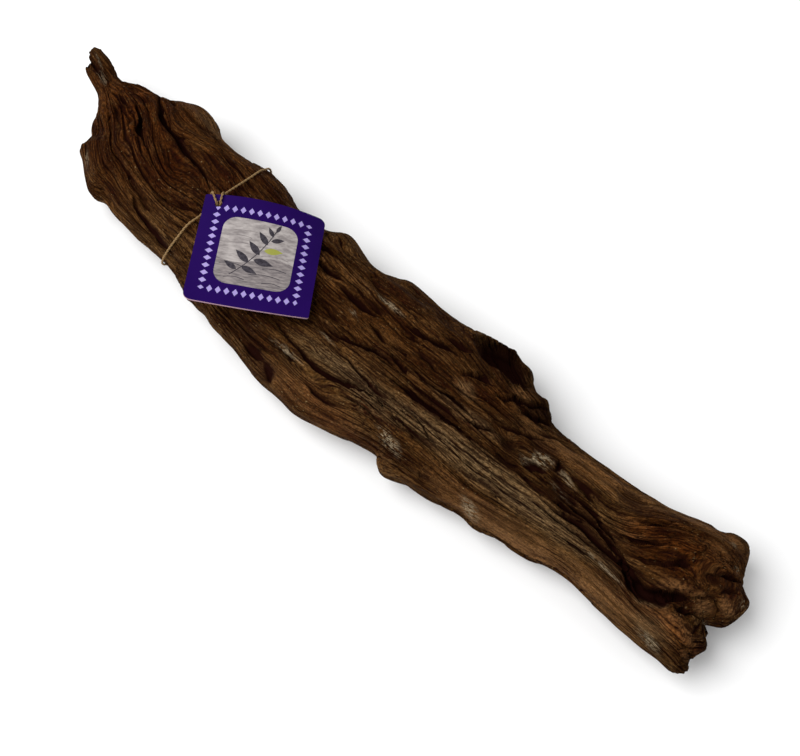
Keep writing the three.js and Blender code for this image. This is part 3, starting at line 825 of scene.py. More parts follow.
@dataclass(frozen=True)
class DriftwoodFinish:
    """Hardwood driftwood, worn by water and dried in the sun.

    It is matt, with dark cracks along brown fibre, grey ridges and a pale crust in places. Real
    fibres and torn fibre ends are finer than 0.2 mm, and are drawn coarser so that they show.
    """

    # Near black: painted shade in furrows, hollows and the dark patches, and the colour of cracks,
    # pits and stains
    furrow_colour: str = "#180603"
    shade_colour: str = "#240e04"
    body_colour: str = "#37220c"
    fibre_colour: str = "#563c20"
    roughness: float = 0.8
    roughness_spread: tuple[float, float] = (0.1, 0.12)
    sheen: float = 0.02  # dry, cracked wood has hardly any
    # How far the dark patches darken the wood: painted shade in hollows, under ledges and along the
    # back rim, and some stains
    shade_and_stain: float = 0.8
    relief_mm: float = 0.8
    fibre_relief: float = 0.7
    streaks: float = 0.35
    crack_core: float = 0.15  # share of a crack's half width that is fully dark
    worn_shut: float = 0.7  # how far the fine cracks are shut where the wood is worn
    ramp: tuple[float, float, float] = (0.41, 0.50, 0.59)
    patterns: tuple[Pattern, ...] = (
        Pattern("fibre", (14.0, 0.6, 0.6), 4.0, 0.65),
        Pattern("streak", (60.0, 4.0, 4.0)),
        Pattern("broad", (50.0, 14.0, 14.0), 2.0),
        Pattern("mottle", (7.0, 4.0, 4.0), 4.0),
        Pattern("crumb", (1.7, 1.1, 1.1), 3.0, 0.7),
        Pattern("waver", (22.0, 3.0, 3.0), 3.0),
        Pattern("gap", (26.0, 2.2, 2.2), 2.0, 0.6, (0.44, 0.54, 0.0, 1.0)),
        Pattern("pit", (9.0, 0.9, 0.9), 2.0, 0.6, (0.31, 0.37, 0.0, 1.0)),
        Pattern("flake", (3.6, 1.8, 1.8), 5.0, 0.7),
        Pattern("grit", (1.6, 0.7, 0.7), 2.0, 0.7, (0.3, 0.7, 0.3, 1.9)),
    )
    washes: tuple[Wash, ...] = (
        Wash("tan", "streak", 0.35, 0.55, 0.75, "#6e4d2f"),
        # Fibre that stands out is paler: partly weathered, partly a painted highlight
        Wash("proud", "fibre", 0.42, 0.62, 0.5, "#655036"),
        Wash("grey", "fibre", 0.36, 0.56, 0.9, "#735d40"),
        Wash("russet", "mottle", 0.2, 0.5, 1.0, "#e0b388", "MULTIPLY"),
        Wash("gold", "mottle", 0.62, 0.4, 1.0, "#ffebc0", "MULTIPLY"),
        Wash("pale", "flake", 0.46, 0.51, 1.0, "#82735c"),
        Wash("", "crumb", 0.65, 0.72, 0.7, "#84704e"),
    )
    cracks: tuple[CrackRun, ...] = (
        CrackRun(1.0, 0.0, 0.13, 0.0, True),
        CrackRun(2.7, 1.2, 0.3, 0.25, False),
    )

    def noises(self, add: AddNode) -> dict[str, bpy.types.NodeSocket]:
        """Draws each pattern in the grain.

        Args:
            add: The function that adds the material's nodes.

        Returns:
            The patterns, by name.
        """
        grain = add("ShaderNodeAttribute", attribute_name="grain").outputs["Vector"]
        drawn = {}
        for pattern in self.patterns:
            scale = tuple(1 / size for size in pattern.size)
            at = add("ShaderNodeMapping", {"Vector": grain, "Scale": scale}).outputs[0]
            detail = {"Scale": 1.0, "Detail": pattern.detail, "Roughness": pattern.roughness}
            noise = add("ShaderNodeTexNoise", {"Vector": at, **detail}).outputs["Fac"]
            if pattern.span:
                names = ("From Min", "From Max", "To Min", "To Max")
                ends = dict(zip(names, pattern.span, strict=True))
                noise = add("ShaderNodeMapRange", {"Value": noise, **ends}).outputs[0]
            drawn[pattern.name] = noise
        return drawn

    def fibre(self, add: AddNode, drawn: dict, tones: dict) -> bpy.types.NodeSocket:
        """Colours the sound wood: brown fibre, its washes, crumbs and torn fibre ends.

        Args:
            add: The function that adds the material's nodes.
            drawn: The patterns.
            tones: The skin's attributes.

        Returns:
            The colour.
        """
        mixed = drawn["fibre"]
        for name in ("streak", "broad"):
            both = {"Factor": self.streaks, 2: mixed, 3: drawn[name]}
            mixed = add("ShaderNodeMix", both).outputs[0]
        base = add("ShaderNodeValToRGB", {"Fac": mixed})
        stops = base.color_ramp.elements
        stops.new(self.ramp[1])
        colours = (self.shade_colour, self.body_colour, self.fibre_colour)
        for stop, place, code in zip(stops, self.ramp, colours, strict=True):
            stop.position, stop.color = place, linear(code)
        colour = base.outputs["Color"]
        for wash in self.washes:
            span = {"From Min": wash.low, "From Max": wash.high, "To Max": wash.strength}
            shown = add("ShaderNodeMapRange", {"Value": drawn[wash.pattern], **span}).outputs[0]
            both = {0: tones.get(wash.tone, 1.0), 1: shown}
            share = add("ShaderNodeMath", both, operation="MULTIPLY")
            colour = add(
                "ShaderNodeMix",
                {"Factor": share.outputs[0], 6: colour, 7: linear(wash.colour)},
                data_type="RGBA",
                blend_type=wash.blend,
            ).outputs[2]
        torn = {0: colour, "Scale": drawn["grit"]}
        return add("ShaderNodeVectorMath", torn, operation="SCALE").outputs[0]

    def soundness(self, add: AddNode, drawn: dict, tones: dict) -> bpy.types.NodeSocket:
        """Finds where the wood is whole.

        Args:
            add: The function that adds the material's nodes.
            drawn: The patterns.
            tones: The skin's attributes.

        Returns:
            A share that is 0 in furrows, cracks and pits, and 1 between them.
        """
        # The deep attribute is painted shade in furrows, hollows and deep cracks, by their depth
        sound = add("ShaderNodeMath", {0: 1.0, 1: tones["deep"]}, operation="SUBTRACT").outputs[0]
        for run in self.cracks:
            sway = {0: drawn["waver"], 1: run.waver, 2: 0.0}
            swayed = add("ShaderNodeMath", sway, operation="MULTIPLY_ADD").outputs[0]
            count = {0: tones["rings"], 1: run.to_a_ring, 2: swayed}
            ring = add("ShaderNodeMath", count, operation="MULTIPLY_ADD").outputs[0]
            away = add("ShaderNodeMath", {0: ring, 1: 0.5}, operation="PINGPONG").outputs[0]
            core = self.crack_core * run.width
            edge = {"From Min": core, "From Max": run.width, "To Min": run.floor}
            whole = add("ShaderNodeMapRange", {"Value": away, **edge}).outputs[0]
            if run.in_skin:
                shut = add("ShaderNodeMath", {0: 1.0, 1: tones["open"]}, operation="SUBTRACT")
            else:
                closed = {0: tones["worn"], 1: self.worn_shut, 2: drawn["gap"]}
                shut = add("ShaderNodeMath", closed, operation="MULTIPLY_ADD")
            whole = add("ShaderNodeMath", {0: whole, 1: shut.outputs[0]}, operation="MAXIMUM")
            whole = whole.outputs[0]
            sound = add("ShaderNodeMath", {0: sound, 1: whole}, operation="MULTIPLY").outputs[0]
        filled = {0: drawn["pit"], 1: tones["worn"]}
        whole = add("ShaderNodeMath", filled, operation="ADD", use_clamp=True).outputs[0]
        return add("ShaderNodeMath", {0: sound, 1: whole}, operation="MULTIPLY").outputs[0]

    def material(self) -> bpy.types.Material:
        """Builds the material, whose patterns follow the grain attribute.

        Returns:
            The material.
        """
        material, add = new_material("driftwood_water_worn")
        names = ("deep", "proud", "rings", "open", *(tone.value for tone in Tone))
        tones = {n: add("ShaderNodeAttribute", attribute_name=n).outputs["Fac"] for n in names}
        drawn = self.noises(add)
        colour = self.fibre(add, drawn, tones)
        sound = self.soundness(add, drawn, tones)
        # The dark patches pull the colour towards the near-black furrow colour: painted shade in
        # hollows, under ledges and along the back rim, and some stains
        shade_and_stain_inputs = {0: tones["dark"], 1: -self.shade_and_stain, 2: 1.0}
        unshaded_unstained = add("ShaderNodeMath", shade_and_stain_inputs, operation="MULTIPLY_ADD").outputs[0]
        bare = add("ShaderNodeMath", {0: sound, 1: unshaded_unstained}, operation="MULTIPLY").outputs[0]
        mix = {"Factor": bare, 6: linear(self.furrow_colour), 7: colour}
        colour = add("ShaderNodeMix", mix, data_type="RGBA").outputs[2]
        less, more = self.roughness_spread
        span = {"To Min": self.roughness - less, "To Max": self.roughness + more}
        rough = add("ShaderNodeMapRange", {"Value": drawn["fibre"], **span}).outputs[0]
        proud = {0: drawn["fibre"], 1: self.fibre_relief, 2: sound}
        height = add("ShaderNodeMath", proud, operation="MULTIPLY_ADD").outputs[0]
        bump = {"Strength": 1.0, "Distance": self.relief_mm * MM, "Height": height}
        shader = add(
            "ShaderNodeBsdfPrincipled",
            {
                "Base Color": colour,
                "Roughness": rough,
                "Normal": add("ShaderNodeBump", bump).outputs[0],
                "Specular IOR Level": self.sheen,
            },
        )
        add("ShaderNodeOutputMaterial", {"Surface": shader.outputs[0]})
        return material


@dataclass
class LogSkin:
    """The whole surface of the log, with its fine furrows and fibres in the mesh."""

    form: LogForm = field(default_factory=LogForm)
    finish: DriftwoodFinish = field(default_factory=DriftwoodFinish)
    stations: int = 560
    pointed_rows: int = 36
    split_rows: int = 100
    rays_top: int = 300
    rays_under: int = 90
    triangles: int = 198000
    ring_spacing: float = 4.4
    side_height: float = 16.0
    side_fall: float = 14.0
    crack_depth: float = 1.3
    crack_width: float = 0.5
    plate_height: float = 0.45
    split_depth: float = 1.6
    split_width: float = 0.09  # in the heights of its noise
    top_from: float = 20.0  # patches lie above this height only
    card_press: float = 0.2  # how far the skin is lowered below the card
    worn_gain: float = 1.6
    worn_relief: float = 0.8  # how much of the relief is gone where the wood is worn
    openness: float = 0.45  # how open the cracks are on the whole
    proud_height: float = 1.2  # fibre that stands out this far is at its lightest: partly weathered pale fibre, partly a painted highlight
    # Noises as (seed, height, cell size along, across and through the grain)
    fibre_noises: tuple = (
        (12, 0.4, (45, 5.5, 5.5)), (13, 0.25, (24, 2.6, 2.6)), (14, 0.25, (12, 1.3, 1.3)),
        (25, 0.5, (17, 9, 9)),
    )
    ring_noises: tuple = (
        (20, 0.7, (75, 12, 12)), (21, 0.28, (26, 5, 5)), (22, 0.12, (8, 2, 2)),
    )
    opening_noises: tuple = ((23, 2.4, (36, 5, 5)), (24, 0.9, (70, 18, 18)))
    sway_noises: tuple = ((11, 1.6, (42, 11, 11)), (19, 0.5, (13, 6, 6)))

    def cuts(self) -> tuple[np.ndarray, np.ndarray, np.ndarray]:
        """Lays out the cuts across the log, with fans over its two ends.

        Returns:
            For each cut, its point on the heart line and its directions to the back and front.
        """
        path = rounded_path(self.form.heart, 40)
        run = np.concatenate([[0], np.cumsum(np.linalg.norm(np.diff(path, axis=0), axis=1))])
        at = np.linspace(0, run[-1], self.stations + 1)
        points = np.column_stack([np.interp(at, run, path[:, k]) for k in range(2)])
        forward = np.gradient(points, axis=0)
        forward /= np.linalg.norm(forward, axis=1)[:, None]
        back = np.column_stack([-forward[:, 1], forward[:, 0]])
        front = -back

        def fan(end: int, ahead: np.ndarray, rows: int) -> tuple[np.ndarray, ...]:
            """Lays out the cuts over one end, from straight ahead to straight across.

            Args:
                end: Number of the station that they turn about.
                ahead: Direction out of the log.
                rows: How many there are.

            Returns:
                Their points and their directions to the back and front.
            """
            lean = np.linspace(math.pi / 2, 0, rows, endpoint=False)[:, None]
            sides = [np.cos(lean) * side[end] + np.sin(lean) * ahead for side in (back, front)]
            return np.repeat(points[end][None], rows, 0), *sides

        first = fan(0, -forward[0], self.pointed_rows)
        last = [part[::-1] for part in fan(-1, forward[-1], self.split_rows)]
        return tuple(
            np.vstack(parts) for parts in zip(first, (points, back, front), last, strict=True)
        )

    def reach(self, start: np.ndarray, ray: np.ndarray) -> np.ndarray:
        """Finds how far the wood goes to the rim, less the side ridges.

        Args:
            start: Points of the heart line.
            ray: Direction from each.

        Returns:
            The distances.
        """

        def within(r: np.ndarray) -> np.ndarray:
            """Whether points at distances r lie in the wood."""
            at = start + ray * r[:, None]
            return self.form.rim_depth(at[:, 0], at[:, 1]) > self.form.side_ridge_depth / 2

        near = np.zeros(len(start))
        going = np.ones(len(start), bool)
        while going.any():
            going &= within(near + 1)
            near = np.where(going, near + 1, near)
        far = near + 1
        for _ in range(12):
            middle = (near + far) / 2
            keep = within(middle)
            near, far = np.where(keep, middle, near), np.where(keep, far, middle)
        return near

    def shape(self) -> tuple[np.ndarray, ...]:
        """Lays the skin's points out in rings.

        Returns:
            Points as rings of rays, how much further round the log each is than its place across
            the grain, the depth carved there, which are on top, and the number of the point that
            each stands for once the ends are folded shut.
        """
        start, back, front = self.cuts()
        rings = len(start)
        reach_back, reach_front = self.reach(start, back), self.reach(start, front)
        top = math.pi * np.arange(self.rays_top) / self.rays_top
        under = math.pi + math.pi * np.arange(self.rays_under) / self.rays_under
        swing = np.cos(np.concatenate([top, under]))[None, :]
        rearward = swing > 0
        reach = np.where(rearward, reach_back[:, None], reach_front[:, None])
        ray = np.where(rearward[..., None], back[:, None], front[:, None])
        away = np.abs(swing) * reach
        plan = start[:, None] + ray * away[..., None]
        x, y = plan[..., 0].ravel(), plan[..., 1].ravel()
        upper = np.broadcast_to(np.arange(swing.size) < self.rays_top, away.shape).ravel()

        inset = self.form.side_ridge_depth / 2
        depth = self.form.rim_depth(x, y) - inset
        # By the rim, depth is measured along the cut, because heights rise steeply there
        close = 3.0
        edge = start[:, None] + ray * np.maximum(reach - close, 0)[..., None]
        edge_x, edge_y = edge[:, [0, self.rays_top], 0], edge[:, [0, self.rays_top], 1]
        at_edge = self.form.rim_depth(edge_x.ravel(), edge_y.ravel()) - inset
        at_edge = np.clip(at_edge.reshape(rings, 2), 0, close)
        slope = np.where(rearward, at_edge[:, :1], at_edge[:, 1:]) / close
        inward = (reach - away).ravel()
        depth = np.where(inward < close, (slope * (reach - away)).ravel(), depth)
        depth = np.maximum(depth, 0)
        height, carved = self.form.heights(x, y, depth, upper)
        across = self.form.grain_at(x, y).reshape(rings, -1)
        at_rim = np.where(rearward, across[:, :1], across[:, self.rays_top, None])
        side = np.where(rearward, self.side_height, -self.side_height)
        fall = side * dome(depth.reshape(rings, -1) / self.side_fall)
        over = np.where(upper.reshape(rings, -1), side - fall, side + fall + 2 * (at_rim - across))

        around = swing.size
        number = np.arange(rings * around).reshape(rings, around)
        for ring in (0, rings - 1):
            for first, count in ((0, self.rays_top), (self.rays_top, self.rays_under)):
                for k in range(1, count // 2):
                    number[ring, first + count - k] = number[ring, first + k]
            number[ring, self.rays_top] = number[ring, 0]
        fans = ((0, self.pointed_rows + 1), (rings - self.split_rows - 1, rings))
        for low, high in fans:
            for middle in (self.rays_top // 2, self.rays_top + self.rays_under // 2):
                number[low:high, middle] = number[low, middle]
        points = np.column_stack([x, y, height]).reshape(rings, around, 3)
        return points, over.ravel(), carved, upper, number

    def faces(self, number: np.ndarray) -> np.ndarray:
        """Joins the rings with triangles.

        Args:
            number: Number of each point, in rings.

        Returns:
            The triangles, without those that the folded ends make empty.
        """
        a, d = number[:-1], number[1:]
        b, c = np.roll(a, -1, 1), np.roll(d, -1, 1)
        first, second = np.stack([a, c, d], -1), np.stack([a, b, c], -1)
        triangles = np.concatenate([first.reshape(-1, 3), second.reshape(-1, 3)])
        i, j, k = triangles.T
        return triangles[(i != j) & (j != k) & (k != i)]

    def normals(self, points: np.ndarray, faces: np.ndarray) -> np.ndarray:
        """Finds the outward direction at each point.

        Args:
            points: The points.
            faces: The triangles.

        Returns:
            Vectors of length one.
        """
        a, b, c = (points[faces[:, k]] for k in range(3))
        face_normals = np.cross(b - a, c - a)
        total = np.zeros_like(points)
        for corner in range(3):
            for axis in range(3):
                total[:, axis] += np.bincount(faces[:, corner], face_normals[:, axis], len(points))
        return total / np.maximum(np.linalg.norm(total, axis=1), 1e-12)[:, None]

    def rings(
        self, place: np.ndarray, over: np.ndarray, worn: np.ndarray
    ) -> tuple[np.ndarray, np.ndarray]:
        """Finds the growth ring at places in the grain, and how open the crack beside it is.

        Args:
            place: Places along, across and through the grain, in millimetres.
            over: How much further round the log each is than its place across the grain.
            worn: How smooth water has worn each, 0 to 1.

        Returns:
            The rings' numbers, with a crack at each whole one, and the openness, 0 to 1.
        """
        rings = layered(place, self.ring_noises, (place[:, 1] + over) / self.ring_spacing)
        opened = layered(place, self.opening_noises)
        return rings, np.clip(opened + self.openness, 0, 1) * (1 - self.worn_relief * worn)

    def relief(
        self, place: np.ndarray, over: np.ndarray, upright: np.ndarray, worn: np.ndarray
    ) -> tuple[np.ndarray, np.ndarray, np.ndarray]:
        """Finds the fine relief of fibres, plates and drying cracks.

        Args:
            place: Places along, across and through the grain, in millimetres.
            over: How much further round the log each is than its place across the grain.
            upright: How nearly level the skin is at each, 0 to 1.
            worn: How smooth water has worn it, 0 to 1.

        Returns:
            How far each point stands out, in millimetres, and its ring number and openness.
        """
        rings, opened = self.rings(place, over, worn)
        phase = rings - np.floor(rings)
        # A plate rises across its ring, and drops back over the last tenth of it
        rise = phase - np.clip((phase - 0.9) / 0.1, 0, 1) - 0.5
        plates = self.plate_height * opened * rise
        away = np.minimum(phase, 1 - phase) * self.ring_spacing / self.crack_width
        cracks = self.crack_depth * opened * np.exp(-away * away)
        # Splits that don't keep to the rings, in some stretches only
        gate = np.clip(Noise(16).at(place, (60, 14, 14)) * 2 + 0.7, 0, 1)
        away = Noise(17).at(place, (60, 6, 6)) / self.split_width
        cracks += np.exp(-(away**2)) * self.split_depth * gate
        turn = 2 * math.pi * place[:, 2] / self.form.side_ridge_spacing
        ridge = np.sin(turn + 1.4 * np.sin(place[:, 0] / 37))
        rough = 1 - self.worn_relief * worn
        relief = (layered(place, self.fibre_noises) + plates - cracks) * rough
        relief -= self.form.side_ridge_depth / 2 * ridge * (1 - upright)
        return relief, rings, opened

    def grain_place(self, points: np.ndarray) -> np.ndarray:
        """Finds where points lie in the wavy grain.

        Args:
            points: Points of the skin.

        Returns:
            Their places along, across and through it, in millimetres.
        """
        across = self.form.grain_at(points[:, 0], points[:, 1])
        place = np.column_stack([points[:, 0], across, points[:, 2]])
        for knot in KNOTS:
            place[:, 1] += knot.push(points[:, 0], points[:, 1])
        sway = layered(place, self.sway_noises)
        return place + np.column_stack([np.zeros(len(place)), sway, sway])

    def darkness(self, carved: np.ndarray, relief: np.ndarray) -> np.ndarray:
        """Painted shade for the depth of the furrows, and of the cracks past 0.7 mm."""
        return np.clip(carved / 3.0 + np.clip(-relief - 0.7, 0, 1.6) * 0.5, 0, 1) ** 1.3

    def build(self, tag: "HangTag") -> bpy.types.Object:
        """Makes the skin, which stands for the solid log.

        Args:
            tag: The card on it, below which no fibre stands up.

        Returns:
            The finished object.
        """
        rings, over, carved, upper, number = self.shape()
        used, packed = np.unique(number.ravel(), return_inverse=True)
        points = rings.reshape(-1, 3)[used]
        faces = self.faces(packed.reshape(number.shape))
        normals = self.normals(points, faces)
        place = self.grain_place(points)
        on_top = upper[used] & (points[:, 2] > self.top_from)
        tones = {tone: np.zeros(len(points)) for tone in Tone}
        for tone, patches in PATCHES.items():
            for *oval, strength in patches:
                cover = strength * (1 - oval_ratio(oval, points[:, 0], points[:, 1]) ** 2) * on_top
                tones[tone] = np.maximum(tones[tone], cover)
        tones[Tone.WORN] = np.clip(self.worn_gain * tones[Tone.WORN], 0, 1)
        relief, rings_at, opened = self.relief(
            place, over[used], np.abs(normals[:, 2]), tones[Tone.WORN]
        )
        below = np.minimum(relief, 0) - self.card_press
        relief = np.where(tag.covers(points), below, relief)
        moved = points + normals * relief[:, None]
        moved[:, 2] = np.maximum(moved[:, 2], 0)

        material = self.finish.material()
        piece = mesh_piece("log_skin", placed(moved), faces.tolist(), [material])
        attributes = {
            "grain": place,
            # deep is painted shade in furrows, hollows and deep cracks, by their depth
            "deep": self.darkness(carved[used], relief),
            "rings": rings_at,
            "open": opened,
            # proud pales the fibre that stands out: partly weathering, partly a painted highlight
            "proud": np.clip(relief / self.proud_height, 0, 1),
            **{tone.value: values for tone, values in tones.items()},
        }
        for name, values in attributes.items():
            put_attribute(piece.data, name, values)
        thin_out(piece, self.triangles)
        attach(piece, BODY)
        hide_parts("driftwood_log")
        LOG.info("log skin: %d faces", len(piece.data.polygons))
        return piece


@dataclass(frozen=True)
class PrintedCardFinish:
    """Coated card, printed and cut: flat ink with a low sheen, over pale board.

    Its tooth is finer than 0.1 mm, and is drawn 0.4 mm wide so that it shows.
    """

    name: str
    colour: str
    second_colour: str
    roughness: float = 0.5
    blotch_mm: tuple[float, float, float] = (22.0, 22.0, 22.0)
    sheen: float = 0.04
    tooth_mm: float = 0.4
    tooth_height_mm: float = 0.1

    def material(self) -> bpy.types.Material:
        """Builds the material, a little uneven as ink on coated board is.

        Returns:
            The material.
        """
        material, add = new_material(self.name)
        here = add("ShaderNodeTexCoord").outputs["Object"]
        lie = {
            "Rotation": (0.0, 0.0, math.radians(HangTag.spin_degrees)),
            "Scale": tuple(size * MM for size in self.blotch_mm),
        }
        along = add("ShaderNodeMapping", {"Vector": here, **lie}, vector_type="TEXTURE").outputs[0]
        blotch = {"Vector": along, "Scale": 1.0, "Detail": 3.0, "Roughness": 0.6}
        cloud = add("ShaderNodeTexNoise", blotch).outputs["Fac"]
        ends = {"From Min": 0.35, "From Max": 0.65}
        spread = add("ShaderNodeMapRange", {"Value": cloud, **ends}).outputs[0]
        inks = {"Factor": spread, 6: linear(self.colour), 7: linear(self.second_colour)}
        grain = {"Vector": here, "Scale": 1 / (self.tooth_mm * MM), "Detail": 2.0}
        tooth = add("ShaderNodeTexNoise", grain).outputs["Fac"]
        bump = {"Strength": 0.12, "Distance": self.tooth_height_mm * MM, "Height": tooth}
        shader = add(
            "ShaderNodeBsdfPrincipled",
            {
                "Base Color": add("ShaderNodeMix", inks, data_type="RGBA").outputs[2],
                "Roughness": self.roughness,
                "Specular IOR Level": self.sheen,
                "Normal": add("ShaderNodeBump", bump).outputs["Normal"],
            },
        )
        add("ShaderNodeOutputMaterial", {"Surface": shader.outputs["BSDF"]})
        return material


class Ink(Enum):
    """What a face of the card shows; the value is its material's number."""

    GROUND = 0
    PANEL = 1
    SPRIG = 2
    ACCENT = 3
    LOZENGE = 4
    BOARD = 5
    SHADE = 6


@dataclass
class HangTag:
    """A square card, bent over the log, printed with a sprig on a panel in a border of lozenges."""

    side: float = 72.0
    thickness: float = 1.3
    centre: tuple = (-59.1, -7.8, 55.1)
    spin_degrees: float = 36.7
    lean: tuple = (0.177, 0.041)
    bow: float = 3.1
    top_bow: float = 4.2
    twist: float = 1.9
    corner_radii: tuple = (4.5, 1, 4, 1)
    hole: tuple = (-27.4, 29.7)
    hole_radius: float = 2.2
    margin: float = 2.0
    top_from: float = 30.0  # what it covers lies above this height
    cell: float = 3.0  # spacing of the mesh's points
    edge_step: float = 2.0
    panel: float = 44.0
    panel_radius: float = 8.0
    border: float = 54.0
    lozenges_a_side: int = 11
    # Half height and half width of a lozenge, and the width of the sprig's stalk and of the lines
    lozenge: tuple = (2.3, 1.7)
    stalk_width: float = 0.55
    line_width: float = 0.45
    finishes: tuple = (
        PrintedCardFinish("card_ink_purple", "#1a0347", "#1e044c"),
        PrintedCardFinish("card_ink_pale_grey", "#807978", "#aaa3a0", 0.5, (7.0, 2.2, 2.2)),
        PrintedCardFinish("card_ink_dark_grey", "#2c292f", "#454147", 0.5, (1.5, 1.5, 1.5)),
        PrintedCardFinish("card_ink_leaf_yellow_green", "#85873b", "#939448"),
        PrintedCardFinish("card_ink_lilac", "#9184bb", "#9e90c6"),
        PrintedCardFinish("card_board_cut", "#b997a3", "#a98995", 0.8),
        PrintedCardFinish("card_ink_mid_grey", "#655f60", "#8e8684", 0.5, (7.0, 1.2, 1.2)),
    )

    def axes(self) -> tuple[np.ndarray, np.ndarray, np.ndarray]:
        """Finds the card's directions.

        Returns:
            Those of its lower edge, its side edge and its face.
        """
        normal = np.array([*self.lean, 1.0])
        normal /= np.linalg.norm(normal)
        spin = math.radians(self.spin_degrees)
        right = np.array([math.cos(spin), math.sin(spin), 0])
        right[2] = -(right @ normal) / normal[2]
        right /= np.linalg.norm(right)
        return right, np.cross(normal, right), normal

    def bend(self, x: np.ndarray, y: np.ndarray) -> np.ndarray:
        """Height of the bent card above its plane."""
        across, up = 2 * x / self.side, 2 * y / self.side
        return -across * (across * (self.bow + self.top_bow * up) + self.twist * up)

    def on_card(self, x: np.ndarray, y: np.ndarray, above: float) -> np.ndarray:
        """Finds places on the bent card.

        Args:
            x: Distances from its middle along its lower edge.
            y: The same along its side edge.
            above: Height over its middle layer.

        Returns:
            Points of the drawing.
        """
        right, upward, normal = self.axes()
        points = np.array(self.centre) + np.outer(x, right) + np.outer(y, upward)
        return points + np.outer(self.bend(x, y) + above, normal)

    def covers(self, points: np.ndarray) -> np.ndarray:
        """Finds what lies below the card or just beside it.

        Args:
            points: Points of the log.

        Returns:
            True for each that does.
        """
        right, upward, _ = self.axes()
        away = points - np.array(self.centre)
        reach = self.side / 2 + self.margin
        below = (np.abs(away @ right) < reach) & (np.abs(away @ upward) < reach)
        return below & (points[:, 2] > self.top_from)

    def motifs(self) -> list[tuple[Ink, np.ndarray]]:
        """Draws the print.

        Returns:
            Its shapes, each with its ink, later ones over earlier ones.
        """
        square = rounded_square(self.panel, (self.panel_radius,) * 4, 8)
        shapes = [(Ink.PANEL, square)]
        half = self.border / 2
        spots = (np.arange(self.lozenges_a_side) / self.lozenges_a_side * 2 - 1) * half
        tall, wide = self.lozenge
        diamond = np.array([(0, tall), (wide, 0), (0, -tall), (-wide, 0)])
        quarter = np.array([[0, 1], [-1, 0]])
        for turn in range(4):
            spin = np.linalg.matrix_power(quarter, turn)
            shapes += [(Ink.LOZENGE, (diamond + (spot, half)) @ spin) for spot in spots[1:]]
            shapes.append((Ink.LOZENGE, (0.8 * diamond + (-half, half)) @ spin))
        x = np.linspace(-self.panel / 2, self.panel / 2, 25)
        crest = np.column_stack([x, -4.5 + 2.2 * np.sin(x / 6.5) + 0.08 * x])
        lower = square[square[:, 1] < -5]
        order = np.argsort(np.arctan2(lower[:, 1], lower[:, 0]))
        shapes.append((Ink.SHADE, np.vstack([crest[::-1], lower[order]])))
        for low, high, at, ink in (
            (-19, -4, 9.5, Ink.SHADE), (-16, 3, 13, Ink.SHADE), (3, 19, -1, Ink.SHADE),
            (-18, 2, 4.5, Ink.SHADE), (-20, -7, -9.5, Ink.SPRIG), (5, 19, -9, Ink.SPRIG),
            (-2, 16, -14, Ink.SPRIG), (-16, -4, -18, Ink.SPRIG), (6, 17, -18.5, Ink.SPRIG),
        ):
            line = stem((low, at), ((low + high) / 2, at + 2.2), (high, at), self.line_width)
            shapes.append((ink, line))
        shapes.append((Ink.SPRIG, stem((-13, -16), (2, -2), (9, 17), self.stalk_width)))
        leaves = (
            ((-9.5, -12), 150, 9, Ink.SPRIG), ((-7, -9.5), -20, 10, Ink.SPRIG),
            ((-3.5, -6.5), 140, 11, Ink.SPRIG), ((-1, -4), -10, 12, Ink.SPRIG),
            ((2, -0.5), 132, 11, Ink.SPRIG), ((4, 3), 5, 11, Ink.ACCENT),
            ((5.5, 7), 128, 10, Ink.SPRIG), ((7, 10), 18, 8, Ink.SPRIG),
            ((8, 13), 122, 7, Ink.SPRIG), ((9, 16.5), 68, 6, Ink.SPRIG),
        )
        for base, angle, length, ink in leaves:
            shapes.append((ink, leaf(base, angle, length)))
        return shapes

    def build(self) -> bpy.types.Object:
        """Makes the card as one closed mesh whose top faces carry the print.

        Returns:
            The finished object.
        """
        edge = spaced(rounded_square(self.side, self.corner_radii, 7), self.edge_step)
        turn = np.linspace(0, 2 * math.pi, 24, endpoint=False)
        ring = np.column_stack([np.cos(turn), np.sin(turn)])
        hole = np.array(self.hole) + self.hole_radius * ring
        motifs = [(ink, spaced(shape, self.cell)) for ink, shape in self.motifs()]
        loops = [edge, hole] + [shape for _, shape in motifs]
        ticks = np.arange(-self.side / 2 + self.cell, self.side / 2 - 1, self.cell)
        grid = np.array([(x, y) for x in ticks for y in ticks])
        points, edges = [grid], []
        count = len(grid)
        for loop in loops:
            numbers = np.arange(len(loop)) + count
            edges += list(zip(numbers.tolist(), np.roll(numbers, -1).tolist()))
            points.append(loop)
            count += len(loop)
        flat = [Vector(p) for p in np.vstack(points).tolist()]
        verts, _, triangles, *_ = delaunay_2d_cdt(flat, edges, [], 0, 1e-4)
        plan = np.array([tuple(v) for v in verts])
        triangles = np.array(triangles)
        middle = plan[triangles].mean(1)
        kept = inside(*middle.T, edge) & ~inside(*middle.T, hole)
        triangles, middle = triangles[kept], middle[kept]
        ink = np.full(len(triangles), Ink.GROUND.value)
        for tone, shape in motifs:
            ink[inside(*middle.T, shape)] = tone.value
        used, packed = np.unique(triangles, return_inverse=True)
        triangles = packed.reshape(-1, 3)
        plan = plan[used]

        n = len(plan)
        x, y = plan.T
        top = self.on_card(x, y, self.thickness / 2)
        bottom = self.on_card(x, y, -self.thickness / 2)
        sides = boundary(triangles)
        faces = triangles.tolist() + (triangles[:, ::-1] + n).tolist()
        faces += [(b, a, a + n, b + n) for a, b in sides]
        board = [Ink.BOARD.value] * (len(triangles) + len(sides))
        slots = np.array(ink.tolist() + board)
        materials = [finish.material() for finish in self.finishes]
        piece = mesh_piece("hang_card", placed(np.vstack([top, bottom])), faces, materials, slots)
        piece.data.set_sharp_from_angle(angle=math.radians(40))
        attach(piece, BODY)
        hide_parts("hang_tag")
        LOG.info("hang card: %d faces", len(faces))
        return piece


